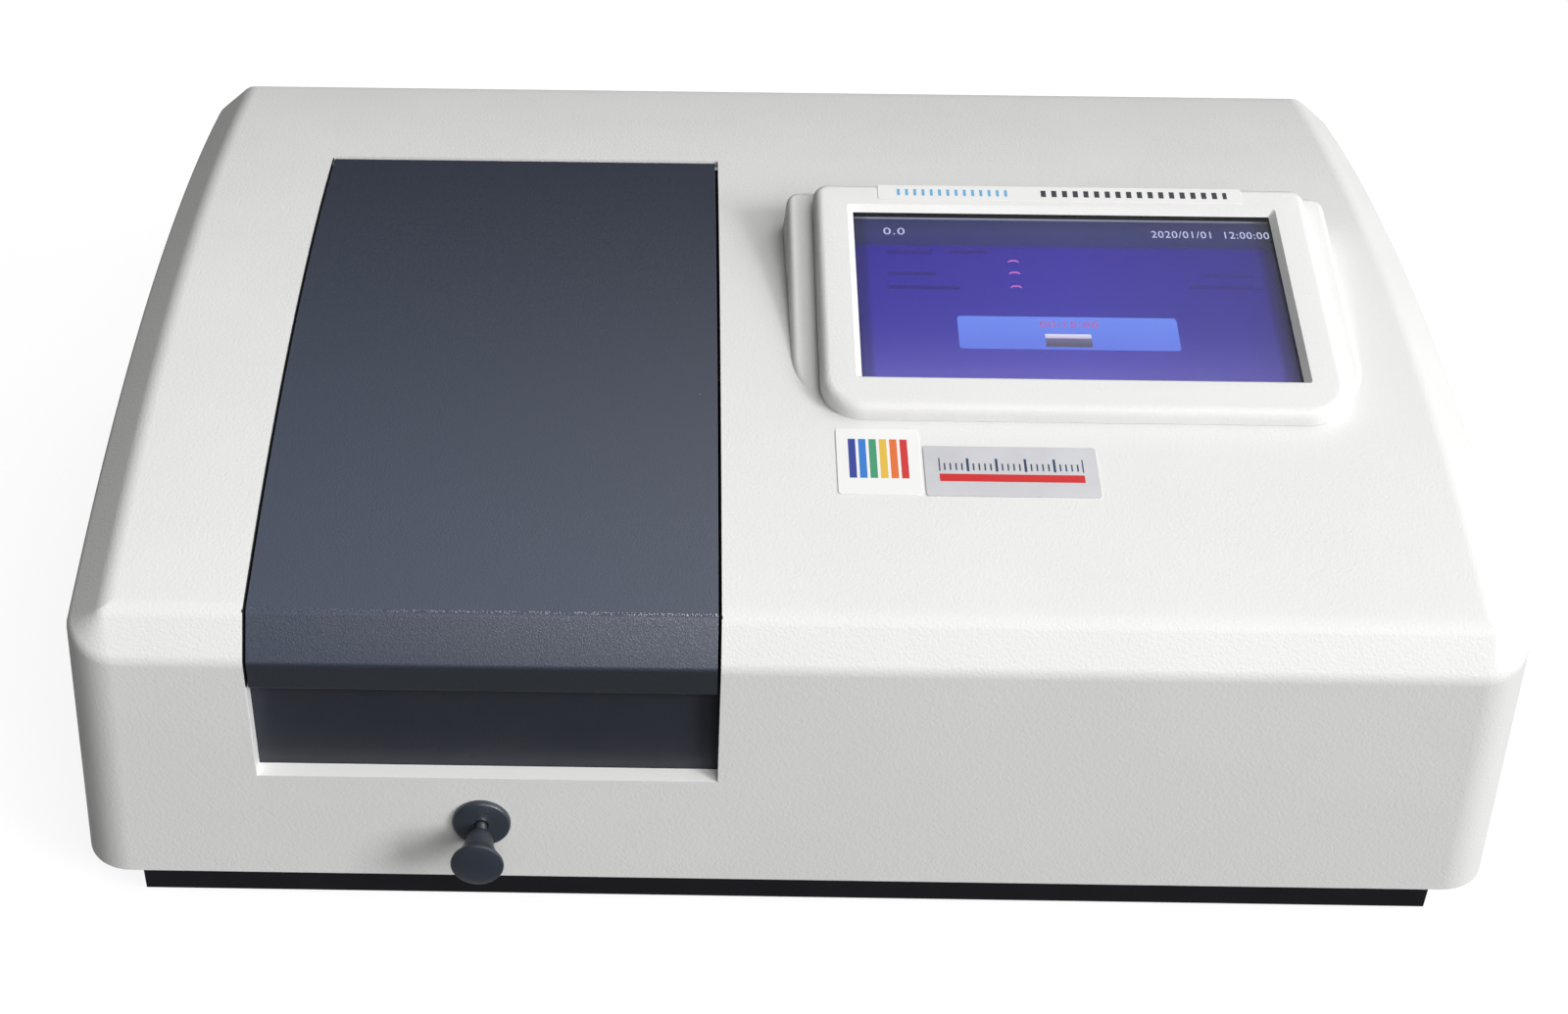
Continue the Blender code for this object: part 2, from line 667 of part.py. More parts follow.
def grating_drive():
    """Lead screw, nut and sine arm, which turn the grating."""
    table = turned("grating_table", "Z", (GRATING_X, GRATING_Y), [(5, 35.6), (5, 44), (16, 44), (16, 50)])
    arm = box("arm", (GRATING_X - 4, GRATING_X + 4), (GRATING_Y + 5, GRATING_Y + SINE_ARM + 4), (44.5, 49.5))
    pin = rod("arm_pin", "Z", (GRATING_X, GRATING_Y + SINE_ARM), 2.5, 46, 55, 16)
    join(table, turn(arm, ARM_START, "Z", (GRATING_X, GRATING_Y, 0)))
    join(table, turn(pin, ARM_START, "Z", (GRATING_X, GRATING_Y, 0)))
    finish(table, "black_anodised")
    grating = box("diffraction_grating", (GRATING_X - 15, GRATING_X + 15), (GRATING_Y, GRATING_Y + 6), (50.3, 81))
    finish(grating, "mirror")
    moved_by("grating_axis", (GRATING_X, GRATING_Y, BEAM_Z), table, grating)

    profile = [(3, 40), (3, 126), (7, 126), (7, 146), (2.5, 146), (2.5, 152)]
    screw = turned("lead_screw", "X", (SCREW_Y, SCREW_Z), profile)
    finish(screw, "steel")
    moved_by("screw_axis", (40, SCREW_Y, SCREW_Z), screw)

    nut = box("drive_nut", (ARM_PIN_X - 9, ARM_PIN_X + 9), (SCREW_Y - 8, SCREW_Y + 8), (56.5, 69))
    cut(nut, rod("thread_hole", "X", (SCREW_Y, SCREW_Z), 3.4, 0, 200))
    for name, near, far in (("fork_left", -8.0, -3.4), ("fork_right", 3.4, 8.0)):
        join(nut, box(name, (ARM_PIN_X + near, ARM_PIN_X + far), (SCREW_Y - 6, SCREW_Y + 6), (51, 58)))
    finish(nut, "brass")
    moved_by("nut_axis", (ARM_PIN_X, SCREW_Y, SCREW_Z), nut)

    bearing = box("screw_bearing", (44, 52), (SCREW_Y - 9, SCREW_Y + 9), (35.6, 71))
    cut(bearing, rod("bearing_hole", "X", (SCREW_Y, SCREW_Z), 3.4, 40, 60))
    finish(bearing, "aluminium")
    motor = box("stepper_motor", (154.5, 182), (SCREW_Y - 14, SCREW_Y + 14), (SCREW_Z - 14, SCREW_Z + 14))
    finish(motor, "black_plastic")


def filter_wheel():
    wheel = rod("filter_wheel", "Y", (SLIT_X, FILTER_Z), 24, 306, 309, 36)
    for i in range(6):
        angle = math.radians(60 * i - 90)
        centre = (SLIT_X + 15 * math.cos(angle), FILTER_Z + 15 * math.sin(angle))
        cut(wheel, rod("filter_hole", "Y", centre, 4.5, 300, 315, 16))
    finish(wheel, "black_anodised")
    moved_by("filter_axis", (SLIT_X, 306, FILTER_Z), wheel)
    finish(rod("filter_motor", "Y", (SLIT_X, FILTER_Z), 10, 309.6, 333.4), "steel")


def lamp_house():
    house = box("lamp_house", (-78, 98), (333.7, 400), (32 + GAP, 128))
    cut(
        house,
        box("inside", (-76.5, 96.5), (335.2, 398.5), (34, 140)),
        rod("beam_hole", "Y", (SLIT_X, BEAM_Z), 4, 330, 340),
        *[box(f"vent{i}", (-18 + 9 * i, -13 + 9 * i), (395, 405), (50, 110)) for i in range(7)],
    )
    finish(house, "steel")
    deuterium = [(17, 34.3), (17, 42), (9, 42), (9, 48), (14, 54), (14, 92), (9, 99), (3, 101), (2, 108)]
    finish(turned("deuterium_lamp", "Z", (-44, LAMP_Y), deuterium), "glass")
    tungsten = [(10, 34.3), (10, 50), (4, 50), (5.5, 54), (5.5, 72), (3, 77), (1, 80)]
    finish(turned("tungsten_lamp", "Z", (74, LAMP_Y), tungsten), "glass")
    finish(rod("source_motor", "Z", (SLIT_X, LAMP_Y), 13, 34.3, 51), "steel")
    mirror = box("source_mirror", (SLIT_X - 13, SLIT_X + 13), (LAMP_Y - 2, LAMP_Y + 2), (54, 80))
    turn(mirror, math.radians(45), "Z", (SLIT_X, LAMP_Y, 0))
    join(mirror, rod("hub", "Z", (SLIT_X, LAMP_Y), 5, 51.4, 56, 16))
    finish(mirror, "mirror")
    moved_by("source_axis", (SLIT_X, LAMP_Y, BEAM_Z), mirror)


# --------------------------------------------------- electronics and rear panel


def electronics():
    board = box("main_board", (165, 262), (60, 285), (20, 21.6))
    chips = [
        (175, 200, 75, 100, 24),
        (210, 240, 80, 110, 25),
        (180, 250, 130, 136, 30),
        (175, 195, 160, 190, 36),
        (215, 235, 165, 185, 24),
        (170, 180, 215, 270, 30),
        (205, 225, 225, 245, 38),
        (240, 255, 230, 270, 32),
    ]
    for left, right, front, rear, high in chips:
        join(board, box("chip", (left, right), (front, rear), (21, high)))
    for x in (172, 255):
        for y in (67, 278):
            join(board, rod("post", "Z", (x, y), 3, BASE_LOW + 2 + GAP, 20.5, 12))
    finish(board, "board_green")
    supply = box("power_supply", (168, 264), (300, 398), (BASE_LOW + 2 + GAP, 60))
    grooves = [box(f"groove{i}", (178 + 10 * i, 182 + 10 * i), (310, 390), (58, 70)) for i in range(8)]
    cut(supply, *grooves)
    finish(supply, "steel")


def rear_panel():
    panel = box("rear_panel", (-50, 276), (PANEL_Y, PANEL_Y + 2), (26, 126))
    cut(
        panel,
        rod("fan_hole", "Y", (FAN_X, FAN_Z), 27, 420, 430, 32),
        box("inlet_hole", (POWER_X - 14.5, POWER_X + 14.5), (420, 430), (INLET_Z - 10.5, INLET_Z + 10.5)),
        box("switch_hole", (POWER_X - 9, POWER_X + 9), (420, 430), (SWITCH_Z - 12.5, SWITCH_Z + 12.5)),
        box("usb_hole", (142, 158), (420, 430), (INLET_Z - 4.5, INLET_Z + 4.5)),
        box("serial_hole", (97, 117), (420, 430), (INLET_Z - 5.5, INLET_Z + 5.5)),
    )
    finish(panel, "steel")
    outside = PANEL_Y + 2 + GAP

    inlet = box("power_inlet", (POWER_X - 24, POWER_X + 24), (outside, outside + 2.5), (INLET_Z - 13, INLET_Z + 13))
    join(inlet, box("body", (POWER_X - 14, POWER_X + 14), (403, outside + 1), (INLET_Z - 10, INLET_Z + 10)))
    cut(inlet, box("socket", (POWER_X - 12, POWER_X + 12), (408, 440), (INLET_Z - 8, INLET_Z + 8)))
    for x, z in ((-7, -1.5), (0, 2.5), (7, -1.5)):
        join(inlet, box("pin", (POWER_X + x - 1, POWER_X + x + 1), (407, 424), (INLET_Z + z - 2, INLET_Z + z + 2)))
    finish(inlet, "black_plastic")

    frame = box("switch_frame", (POWER_X - 11, POWER_X + 11), (outside, outside + 2), (SWITCH_Z - 14.5, SWITCH_Z + 14.5))
    join(frame, box("body", (POWER_X - 8.5, POWER_X + 8.5), (408, outside + 1), (SWITCH_Z - 12, SWITCH_Z + 12)))
    cut(frame, box("well", (POWER_X - 6.8, POWER_X + 6.8), (411, 440), (SWITCH_Z - 10.1, SWITCH_Z + 10.1)))
    finish(frame, "black_plastic")
    pivot = 424.6
    radius = 9.6
    ends = [math.radians(a) for a in (73, 81.5, 90, 98.5, 107)]
    upper = [(pivot + radius * math.cos(a), SWITCH_Z + radius * math.sin(a)) for a in ends]
    lower = [(y, 2 * SWITCH_Z - z) for y, z in reversed(upper)]
    outline = [(pivot + 1.4, SWITCH_Z)] + upper + [(pivot - 6, SWITCH_Z + 5), (pivot - 6, SWITCH_Z - 5)] + lower
    rocker = prism("switch_rocker", "X", outline, POWER_X - 6.4, POWER_X + 6.4)
    turn(rocker, math.radians(-10), "X", (POWER_X, pivot, SWITCH_Z))
    finish(rocker, "black_plastic")
    moved_by("switch_axis", (POWER_X, pivot, SWITCH_Z), rocker)

    for name, x, half_x, half_z in (("usb_port", 150, 7.4, 4.0), ("serial_port", 107, 9.5, 5.0)):
        port = box(name, (x - half_x, x + half_x), (412, 428), (INLET_Z - half_z, INLET_Z + half_z))
        socket = box("socket", (x - half_x + 1, x + half_x - 1), (416, 440), (INLET_Z - half_z + 1, INLET_Z + half_z - 1))
        finish(cut(port, socket), "steel")


def fan():
    half = 30.0
    frame = box("fan_frame", (FAN_X - half, FAN_X + half), (408.9, 423.9), (FAN_Z - half, FAN_Z + half))
    cut(frame, rod("bore", "Y", (FAN_X, FAN_Z), 28, 400, 430, 36))
    join(frame, rod("motor_seat", "Y", (FAN_X, FAN_Z), 12, 408.9, 411.5))
    for angle in (45, 135):
        strut = box("strut", (FAN_X - 33, FAN_X + 33), (409, 411), (FAN_Z - 1.5, FAN_Z + 1.5))
        join(frame, turn(strut, math.radians(angle), "Y", (FAN_X, 410, FAN_Z)))
    finish(frame, "black_plastic")

    rotor = rod("fan_rotor", "Y", (FAN_X, FAN_Z), 12.5, 412.3, 422.5)
    blades = 7
    for i in range(blades):
        blade = box("blade", (FAN_X + 11, FAN_X + 26.5), (412.6, 422), (FAN_Z - 0.7, FAN_Z + 0.7))
        turn(blade, math.radians(35), "X", (FAN_X, 417.3, FAN_Z))
        turn(blade, 2 * math.pi * i / blades, "Y", (FAN_X, 417.3, FAN_Z))
        join(rotor, blade)
    finish(rotor, "black_plastic")
    moved_by("fan_axis", (FAN_X, 417.3, FAN_Z), rotor)

    outside = PANEL_Y + 2 + GAP
    guard = tube("fan_guard", "Y", (FAN_X, FAN_Z), 29, 27, outside, outside + 2, 32)
    for angle in (45, 135):
        bar = box("bar", (FAN_X - 28, FAN_X + 28), (outside + 0.4, outside + 1.6), (FAN_Z - 0.9, FAN_Z + 0.9))
        join(guard, turn(bar, math.radians(angle), "Y", (FAN_X, outside, FAN_Z)))
    for inner in (19.0, 11.0):
        join(guard, tube("ring", "Y", (FAN_X, FAN_Z), inner + 1.6, inner, outside + 0.2, outside + 1.8, 32))
    finish(guard, "steel")


def main():
    for obj in list(bpy.data.objects):
        bpy.data.objects.remove(obj)
    top_cover()
    display()
    top_label("badge_white", 18.8, 54.4, 74.0, 111.0, "label_white")
    top_label("badge_grey", 56.0, 130.0, 73.7, 101.6, "label_grey")
    base_tray()
    feet()
    sample_lid()
    lid_pins()
    compartment()
    rod_guide()
    carriage()
    optical_base()
    detector()
    monochromator()
    grating = (GRATING_X, GRATING_Y)
    mirror_on_mount("collimating", COLLIMATOR, (SLIT_X, GRATING_Y), grating)
    mirror_on_mount("focusing", FOCUSER, grating, (OPEN_RIGHT, FIRST_CELL_Y))
    grating_drive()
    filter_wheel()
    lamp_house()
    electronics()
    rear_panel()
    fan()


main()
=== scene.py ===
"""Looks of the bench spectrophotometer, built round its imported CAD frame.

Sizes are in millimetres and are turned into metres where a mesh is made. X runs to the
right, Z up, and Y is measured back from the cover's front wall, as the frame gives it.
"""

from math import cos, pi, radians, sin

import bmesh
import bpy
from mathutils import Matrix, Vector
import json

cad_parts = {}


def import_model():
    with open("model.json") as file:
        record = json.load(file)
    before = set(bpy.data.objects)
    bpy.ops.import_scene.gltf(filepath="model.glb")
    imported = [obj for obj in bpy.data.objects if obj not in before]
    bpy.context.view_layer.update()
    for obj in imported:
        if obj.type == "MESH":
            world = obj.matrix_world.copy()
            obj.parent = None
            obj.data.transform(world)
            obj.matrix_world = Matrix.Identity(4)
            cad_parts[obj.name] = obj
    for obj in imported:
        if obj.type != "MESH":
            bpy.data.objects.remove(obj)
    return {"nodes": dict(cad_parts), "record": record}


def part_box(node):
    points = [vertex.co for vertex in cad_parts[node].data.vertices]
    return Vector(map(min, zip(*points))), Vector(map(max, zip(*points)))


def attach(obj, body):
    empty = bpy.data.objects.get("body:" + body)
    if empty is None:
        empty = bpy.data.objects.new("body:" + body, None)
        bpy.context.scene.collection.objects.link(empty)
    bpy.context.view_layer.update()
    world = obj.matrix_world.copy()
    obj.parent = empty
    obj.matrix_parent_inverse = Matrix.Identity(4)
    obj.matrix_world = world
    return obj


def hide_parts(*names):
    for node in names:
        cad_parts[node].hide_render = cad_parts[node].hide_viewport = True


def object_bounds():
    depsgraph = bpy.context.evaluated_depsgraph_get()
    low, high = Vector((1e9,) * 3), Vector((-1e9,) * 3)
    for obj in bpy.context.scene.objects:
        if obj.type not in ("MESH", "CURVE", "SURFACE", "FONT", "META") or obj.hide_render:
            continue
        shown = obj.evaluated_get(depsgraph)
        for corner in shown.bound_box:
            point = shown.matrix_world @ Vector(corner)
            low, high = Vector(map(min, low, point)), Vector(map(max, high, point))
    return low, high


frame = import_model()
cad_low, cad_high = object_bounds()

MM = 0.001
FRONT_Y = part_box("top_cover")[0].y


class Extent:
    """A CAD node's box in millimetres, with Y measured from the front wall."""

    def __init__(self, node):
        low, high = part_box(node)
        self.x0, self.y0, self.z0 = low.x / MM, (low.y - FRONT_Y) / MM, low.z / MM
        self.x1, self.y1, self.z1 = high.x / MM, (high.y - FRONT_Y) / MM, high.z / MM
        self.across, self.deep, self.tall = (self.x0, self.x1), (self.y0, self.y1), (self.z0, self.z1)
        self.x, self.y, self.z = (sum(span) / 2 for span in (self.across, self.deep, self.tall))
        self.half = (self.x1 - self.x0) / 2


COVER = Extent("top_cover")
LID = Extent("sample_lid")
BEZEL = Extent("display_bezel")
PLATE = Extent("rod_escutcheon")
KNOB = Extent("pull_knob")
ROD = Extent("pull_rod")

# Body
WALL = 3.5
WALL_FLARE = 7.5  # how much farther out each side wall stands at its lower edge
CORNER_RADIUS = 22.0
FRONT_WALL_HEIGHT = 119.6
FRONT_WALL_TOP = COVER.z0 + FRONT_WALL_HEIGHT
END_BEVEL = 12.0
END_BEVEL_DROP = 18.7
SIDE_BEVEL = 18.0
SIDE_BEVEL_DROP = 14.1
CREASE_FRONT = FRONT_WALL_TOP + END_BEVEL_DROP
ARCH_RISE = 21.4
REAR_RISE = 33.9
DEPTH = COVER.y1
HALF_WIDTH = COVER.x1 - WALL_FLARE
WALL_ROUND = 3.0  # how far from the edge above a wall its rounding starts
CREASE_ROUND = 4.5

# Sample compartment
LID_GAP = 1.4
LID_LEFT = LID.x0 + 1.1
OPEN_LEFT = LID_LEFT - LID_GAP
OPEN_RIGHT = LID.x1 + LID_GAP
OPEN_REAR = LID.y1 + 0.7
OPEN_LOW = COVER.z0 + 57.4
RETURN_DEPTH = 7.4
BARREL_RADIUS = 3.0
HINGE_Y = LID.y1 - BARREL_RADIUS
LID_SKIN = 3.5
PIN_HOLE = 1.8

# Display
DISPLAY_X = BEZEL.x
DISPLAY_TILT = radians(15.4)
WINDOW_LOW = (132.3, COVER.z0 + 176.2)
WINDOW_HALF = 99.6
WINDOW_HEIGHT = 106.3
BEZEL_HALF = 115.0
BEZEL_BELOW = 18.5
BEZEL_ABOVE = 15.2
BEZEL_DEPTH = 9.7
GLASS_DEPTH = 2.9
# Left, right, low and high edges on the display's slope
GLASS_EDGES = (-100.5, 100.5, -1.5, 108.5)
DISPLAY_HOLE = (-104, 104, -5, 112)

# Rear opening, from side to side and in height
REAR_ACROSS = (-45, 270)
REAR_TALL = (COVER.z0 + 9.8, COVER.z0 + 99.8)

# The fan's screws, counted from its centre
FAN_HOLES = ((-24.5, -24.5), (24.5, -24.5), (24.5, 24.5), (-24.5, 24.5))

# Glasses of the filter wheel
FILTER_TINTS = (
    (0.95, 0.97, 0.98),
    (0.75, 0.15, 0.08),
    (0.90, 0.50, 0.08),
    (0.85, 0.82, 0.20),
    (0.12, 0.55, 0.25),
    (0.10, 0.20, 0.70),
)

# Studio lights: name, place in metres, size in metres, watts
LIGHTS = (
    ("key", (8.4, -6.6, 5.6), 4.0, 925.0),
    ("front", (1.0, -3.5, 2.7), 2.2, 68.0),
)
# Broad glows in the studio air: direction, sharpness, strength
GLOWS = (
    ((1.0, 0.0, 0.6), 3.0, 0.8),
    ((0.35, 0.3, 1.0), 14.0, 1.95),
    ((0.2, -0.8, 0.7), 7.0, 0.45),
    ((0.0, 0.6, -0.8), 4.0, 1.1),
    ((-0.6, 0.0, -0.8), 4.0, 0.25),
)


# ---------------------------------------------------------------- mesh helpers


def world(point):
    """A place in the scene, from one in millimetres with Y counted from the front wall."""
    x, y, z = point
    return Vector((x * MM, y * MM + FRONT_Y, z * MM))


def new_piece(name, builder, smooth_angle=35):
    """A piece whose mesh holds its place, shaded smooth where faces meet softly."""
    bmesh.ops.remove_doubles(builder, verts=builder.verts, dist=1e-6)
    bmesh.ops.recalc_face_normals(builder, faces=builder.faces)
    mesh = bpy.data.meshes.new(name)
    builder.to_mesh(mesh)
    builder.free()
    obj = bpy.data.objects.new(name, mesh)
    bpy.context.scene.collection.objects.link(obj)
    mesh.shade_smooth()
    mesh.set_sharp_from_angle(angle=radians(smooth_angle))
    return obj


def loft(name, rings, joined_ends=False, smooth_angle=35):
    """A closed solid through rings of equally many points, capped or joined end to end."""
    builder = bmesh.new()
    loops = [[builder.verts.new(world(point)) for point in ring] for ring in rings]
    pairs = list(zip(loops, loops[1:]))
    if joined_ends:
        pairs.append((loops[-1], loops[0]))
    else:
        builder.faces.new(loops[0])
        builder.faces.new(loops[-1])
    for lower, upper in pairs:
        for i in range(len(lower)):
            j = (i + 1) % len(lower)
            builder.faces.new((lower[i], lower[j], upper[j], upper[i]))
    return new_piece(name, builder, smooth_angle)


def prism(name, axis, outline, low, high):
    """An outline in the plane across the axis, drawn out from low to high along it."""
    place = {
        "X": lambda a, b, along: (along, a, b),
        "Y": lambda a, b, along: (a, along, b),
        "Z": lambda a, b, along: (a, b, along),
    }[axis]
    rings = [[place(a, b, along) for a, b in outline] for along in (low, high)]
    return loft(name, rings)


def box(name, x, y, z):
    """A box from its ranges along X, Y and Z."""
    return prism(name, "Z", [(x[0], y[0]), (x[1], y[0]), (x[1], y[1]), (x[0], y[1])], *z)


def circle(radius, steps, centre=(0.0, 0.0)):
    """Points evenly spaced round a circle."""
    angles = [2 * pi * i / steps for i in range(steps)]
    return [(centre[0] + radius * cos(a), centre[1] + radius * sin(a)) for a in angles]


def about(middle, half):
    """The range that reaches half to either side of middle."""
    return (middle - half, middle + half)


def within(span, inset):
    """The range that stays inset inside both ends of span."""
    return (span[0] + inset, span[1] - inset)


def above(low, profile):
    """A turned profile whose heights are counted from low."""
    return [(radius, low + height) for radius, height in profile]


def chamfered(radius, low, high, chamfer):
    """The turned profile of a solid cylinder with chamfered ends."""
    return [
        (0.2, low),
        (radius - chamfer, low),
        (radius, low + chamfer),
        (radius, high - chamfer),
        (radius - chamfer, high),
        (0.2, high),
    ]


def turned(name, axis, centre, profile, steps=72, hollow=False):
    """A profile of (radius, place along the axis) turned about the axis through centre.

    The centre is a pair of places across the axis, or an Extent that gives its middle.
    """
    if isinstance(centre, Extent):
        centre = {"X": (centre.y, centre.z), "Y": (centre.x, centre.z), "Z": (centre.x, centre.y)}[axis]
    place = {
        "X": lambda a, b, along: (along, centre[0] + a, centre[1] + b),
        "Y": lambda a, b, along: (centre[0] + a, along, centre[1] + b),
        "Z": lambda a, b, along: (centre[0] + a, centre[1] + b, along),
    }[axis]
    rings = [[place(a, b, along) for a, b in circle(radius, steps)] for radius, along in profile]
    return loft(name, rings, joined_ends=hollow)


def cylinder(axis, centre, radius, reach, steps=24):
    return turned("cylinder", axis, centre, [(radius, along) for along in reach], steps)


def soft_curve(start, corner, end, steps):
    """Points of a curve that leaves start toward the corner and reaches end from it."""
    points = []
    for i in range(steps + 1):
        s = i / steps
        points.append(tuple(start * (1 - s) ** 2 + corner * 2 * s * (1 - s) + end * s**2))
    return points


def rounded_corner(before, corner, after, reach, steps):
    """Points of a soft curve that replaces a corner, starting reach away on either side."""
    before, corner, after = Vector(before), Vector(corner), Vector(after)
    start = corner + (before - corner).normalized() * reach
    end = corner + (after - corner).normalized() * reach
    return soft_curve(start, corner, end, steps)


def softened(outline, reaches, steps=5):
    """A closed outline with each corner replaced by a soft curve of its own reach."""
    points = []
    for i, reach in enumerate(reaches):
        after = outline[(i + 1) % len(outline)]
        if reach:
            points += rounded_corner(outline[i - 1], outline[i], after, reach, steps)
        else:
            points.append(outline[i])
    return points


def combine(obj, operation, *others):
    """Joins the other solids to obj, or cuts it with them, and removes them."""
    for other in others:
        modifier = obj.modifiers.new(other.name, "BOOLEAN")
        modifier.operation = operation
        modifier.solver = "EXACT"
        modifier.object = other
    bpy.context.view_layer.update()
    graph = bpy.context.evaluated_depsgraph_get()
    result = bpy.data.meshes.new_from_object(obj.evaluated_get(graph))
    obj.modifiers.clear()
    obj.data = result
    for other in others:
        bpy.data.objects.remove(other)
    return obj


def join(obj, *others):
    return combine(obj, "UNION", *others)


def cut(obj, *others):
    return combine(obj, "DIFFERENCE", *others)


def resmooth(obj, smooth_angle=35):
    obj.data.shade_smooth()
    obj.data.set_sharp_from_angle(angle=radians(smooth_angle))
    return obj


def round_edges(obj, width, segments=3, angle=40):
    """A small bevel on every sharp edge, with its shading hardened."""
    modifier = obj.modifiers.new("rounded_edges", "BEVEL")
    modifier.width = width * MM
    modifier.segments = segments
    modifier.limit_method = "ANGLE"
    modifier.angle_limit = radians(angle)
    modifier.harden_normals = True
    return obj


def finish(obj, slot, *nodes, body="housing", look=None):
    """Gives a piece its finish and its body, and hides the CAD nodes it stands for."""
    obj.data.materials.clear()
    obj.data.materials.append(look.material if look else MATERIALS[slot])
    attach(obj, body)
    if nodes:
        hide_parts(*nodes)


# ------------------------------------------------------------------- materials


def add_node(tree, kind, output, inputs, **settings):
    """Adds a node, links or sets its inputs, and gives back one of its outputs."""
    node = tree.nodes.new(kind)
    for key, value in settings.items():
        setattr(node, key, value)
    for socket, value in inputs.items():
        feed(tree, node.inputs[socket], value)
    return node.outputs[output]


def feed(tree, socket, value):
    """Links an output to the socket, or sets the socket to a colour, number or vector."""
    if isinstance(value, bpy.types.NodeSocket):
        tree.links.new(value, socket)
    elif isinstance(value, tuple):
        socket.default_value = (*value, 1.0)
    else:
        socket.default_value = value


class Surface:
    """A Principled material and short calls that wire procedural textures to it."""

    def __init__(self, name, colour, roughness, metallic=0.0):
        self.material = bpy.data.materials.new(name)
        self.material.use_nodes = True
        self.tree = self.material.node_tree
        self.shader = self.tree.nodes["Principled BSDF"]
        self.place = self.node("ShaderNodeTexCoord", "Object", {})
        self.colour = colour
        self.roughness = roughness
        self.set("Base Color", colour).set("Roughness", roughness).set("Metallic", metallic)

    def set(self, socket, value):
        """Gives one of the shader's inputs a value or another node's output."""
        feed(self.tree, self.shader.inputs[socket], value)
        return self

    def node(self, kind, output, inputs, **settings):
        return add_node(self.tree, kind, output, inputs, **settings)

    def noise(self, size, detail=3.0, stretch=(1.0, 1.0, 1.0)):
        """Noise whose blotches are about size millimetres across."""
        scale = Vector(s / (size * MM) for s in stretch)
        place = self.node("ShaderNodeMapping", "Vector", {"Vector": self.place, "Scale": scale})
        return self.node("ShaderNodeTexNoise", "Fac", {"Vector": place, "Scale": 1.0, "Detail": detail})

    def ramp(self, factor, low, high, low_value, high_value):
        """factor from low to high, stretched to run from low_value to high_value."""
        span = {"From Min": low, "From Max": high, "To Min": low_value, "To Max": high_value}
        return self.node("ShaderNodeMapRange", "Result", {"Value": factor, **span})

    def blended(self, factor, first, second, **settings):
        """The first colour where factor is 0 and the second where it is 1."""
        inputs = {"Factor": factor, "A": first, "B": second}
        return self.node("ShaderNodeMix", "Result", inputs, data_type="RGBA", **settings)

    def mottle(self, size, other):
        """Blends the colour with another one in soft blotches."""
        blotches = self.ramp(self.noise(size), 0.35, 0.65, 0.0, 1.0)
        return self.set("Base Color", self.blended(blotches, self.colour, other))

    def uneven_gloss(self, size, spread):
        """Lets the roughness wander by spread either way."""
        low, high = about(self.roughness, spread)
        return self.set("Roughness", self.ramp(self.noise(size), 0.3, 0.7, low, high))

    def grain(self, size, depth, detail=2.0, stretch=(1.0, 1.0, 1.0)):
        """Raised grain about size across and depth high, in millimetres."""
        inputs = {"Strength": 1.0, "Distance": depth * MM, "Height": self.noise(size, detail, stretch)}
        previous = self.shader.inputs["Normal"].links
        if previous:
            inputs["Normal"] = previous[0].from_socket
        return self.set("Normal", self.node("ShaderNodeBump", "Normal", inputs))

    def lit(self, colour, strength=1.0):
        """Lets the surface give off the colour."""
        return self.set("Emission Color", colour).set("Emission Strength", strength)

    def times(self, first, second):
        return self.node("ShaderNodeMath", "Value", {0: first, 1: second}, operation="MULTIPLY")

    def band(self, coordinate, middle, half):
        """1 where the coordinate is within half of middle, and 0 elsewhere."""
        inputs = {0: coordinate, 1: middle, 2: half}
        return self.node("ShaderNodeMath", "Value", inputs, operation="COMPARE")

    def repeated(self, coordinate, count):
        """Runs from 0 to 1 in each of count equal parts of the coordinate."""
        return self.node("ShaderNodeMath", "Value", {0: self.times(coordinate, count)}, operation="FRACT")

    def ticks(self, coordinate, count, half):
        """count evenly spaced marks, each reaching half of its own pitch to either side."""
        return self.band(self.repeated(coordinate, count), 0.5, half)

    def axes(self, socket="Generated"):
        """The three coordinates of that kind, each on its own."""
        place = self.node("ShaderNodeTexCoord", socket, {})
        return self.node("ShaderNodeSeparateXYZ", "X", {"Vector": place}).node.outputs

    def spots(self, per_metre):
        """Distance from the middle of the nearest of many scattered cells."""
        return self.node("ShaderNodeTexVoronoi", "Distance", {"Vector": self.place, "Scale": per_metre})

    def specks(self, per_metre, radius, strength, sparse=0.0):
        """Small round spots, left out of a sparse share of the places they could take."""
        distance = self.spots(per_metre)
        shown = self.ramp(distance, 0.6 * radius, radius, strength, 0.0)
        if sparse:
            chance = self.node("ShaderNodeSeparateColor", "Red", {"Color": distance.node.outputs["Color"]})
            shown = self.times(shown, self.ramp(chance, sparse, sparse + 0.02, 0.0, 1.0))
        return shown

    def colour_steps(self, factor, stops, interpolation="LINEAR"):
        """A colour ramp through (place, colour) stops."""
        output = self.node("ShaderNodeValToRGB", "Color", {"Fac": factor})
        steps = output.node.color_ramp
        steps.interpolation = interpolation
        while len(steps.elements) < len(stops):
            steps.elements.new(1.0)
        for element, (place, colour) in zip(steps.elements, stops):
            element.position = place
            element.color = (*colour, 1.0)
        return output


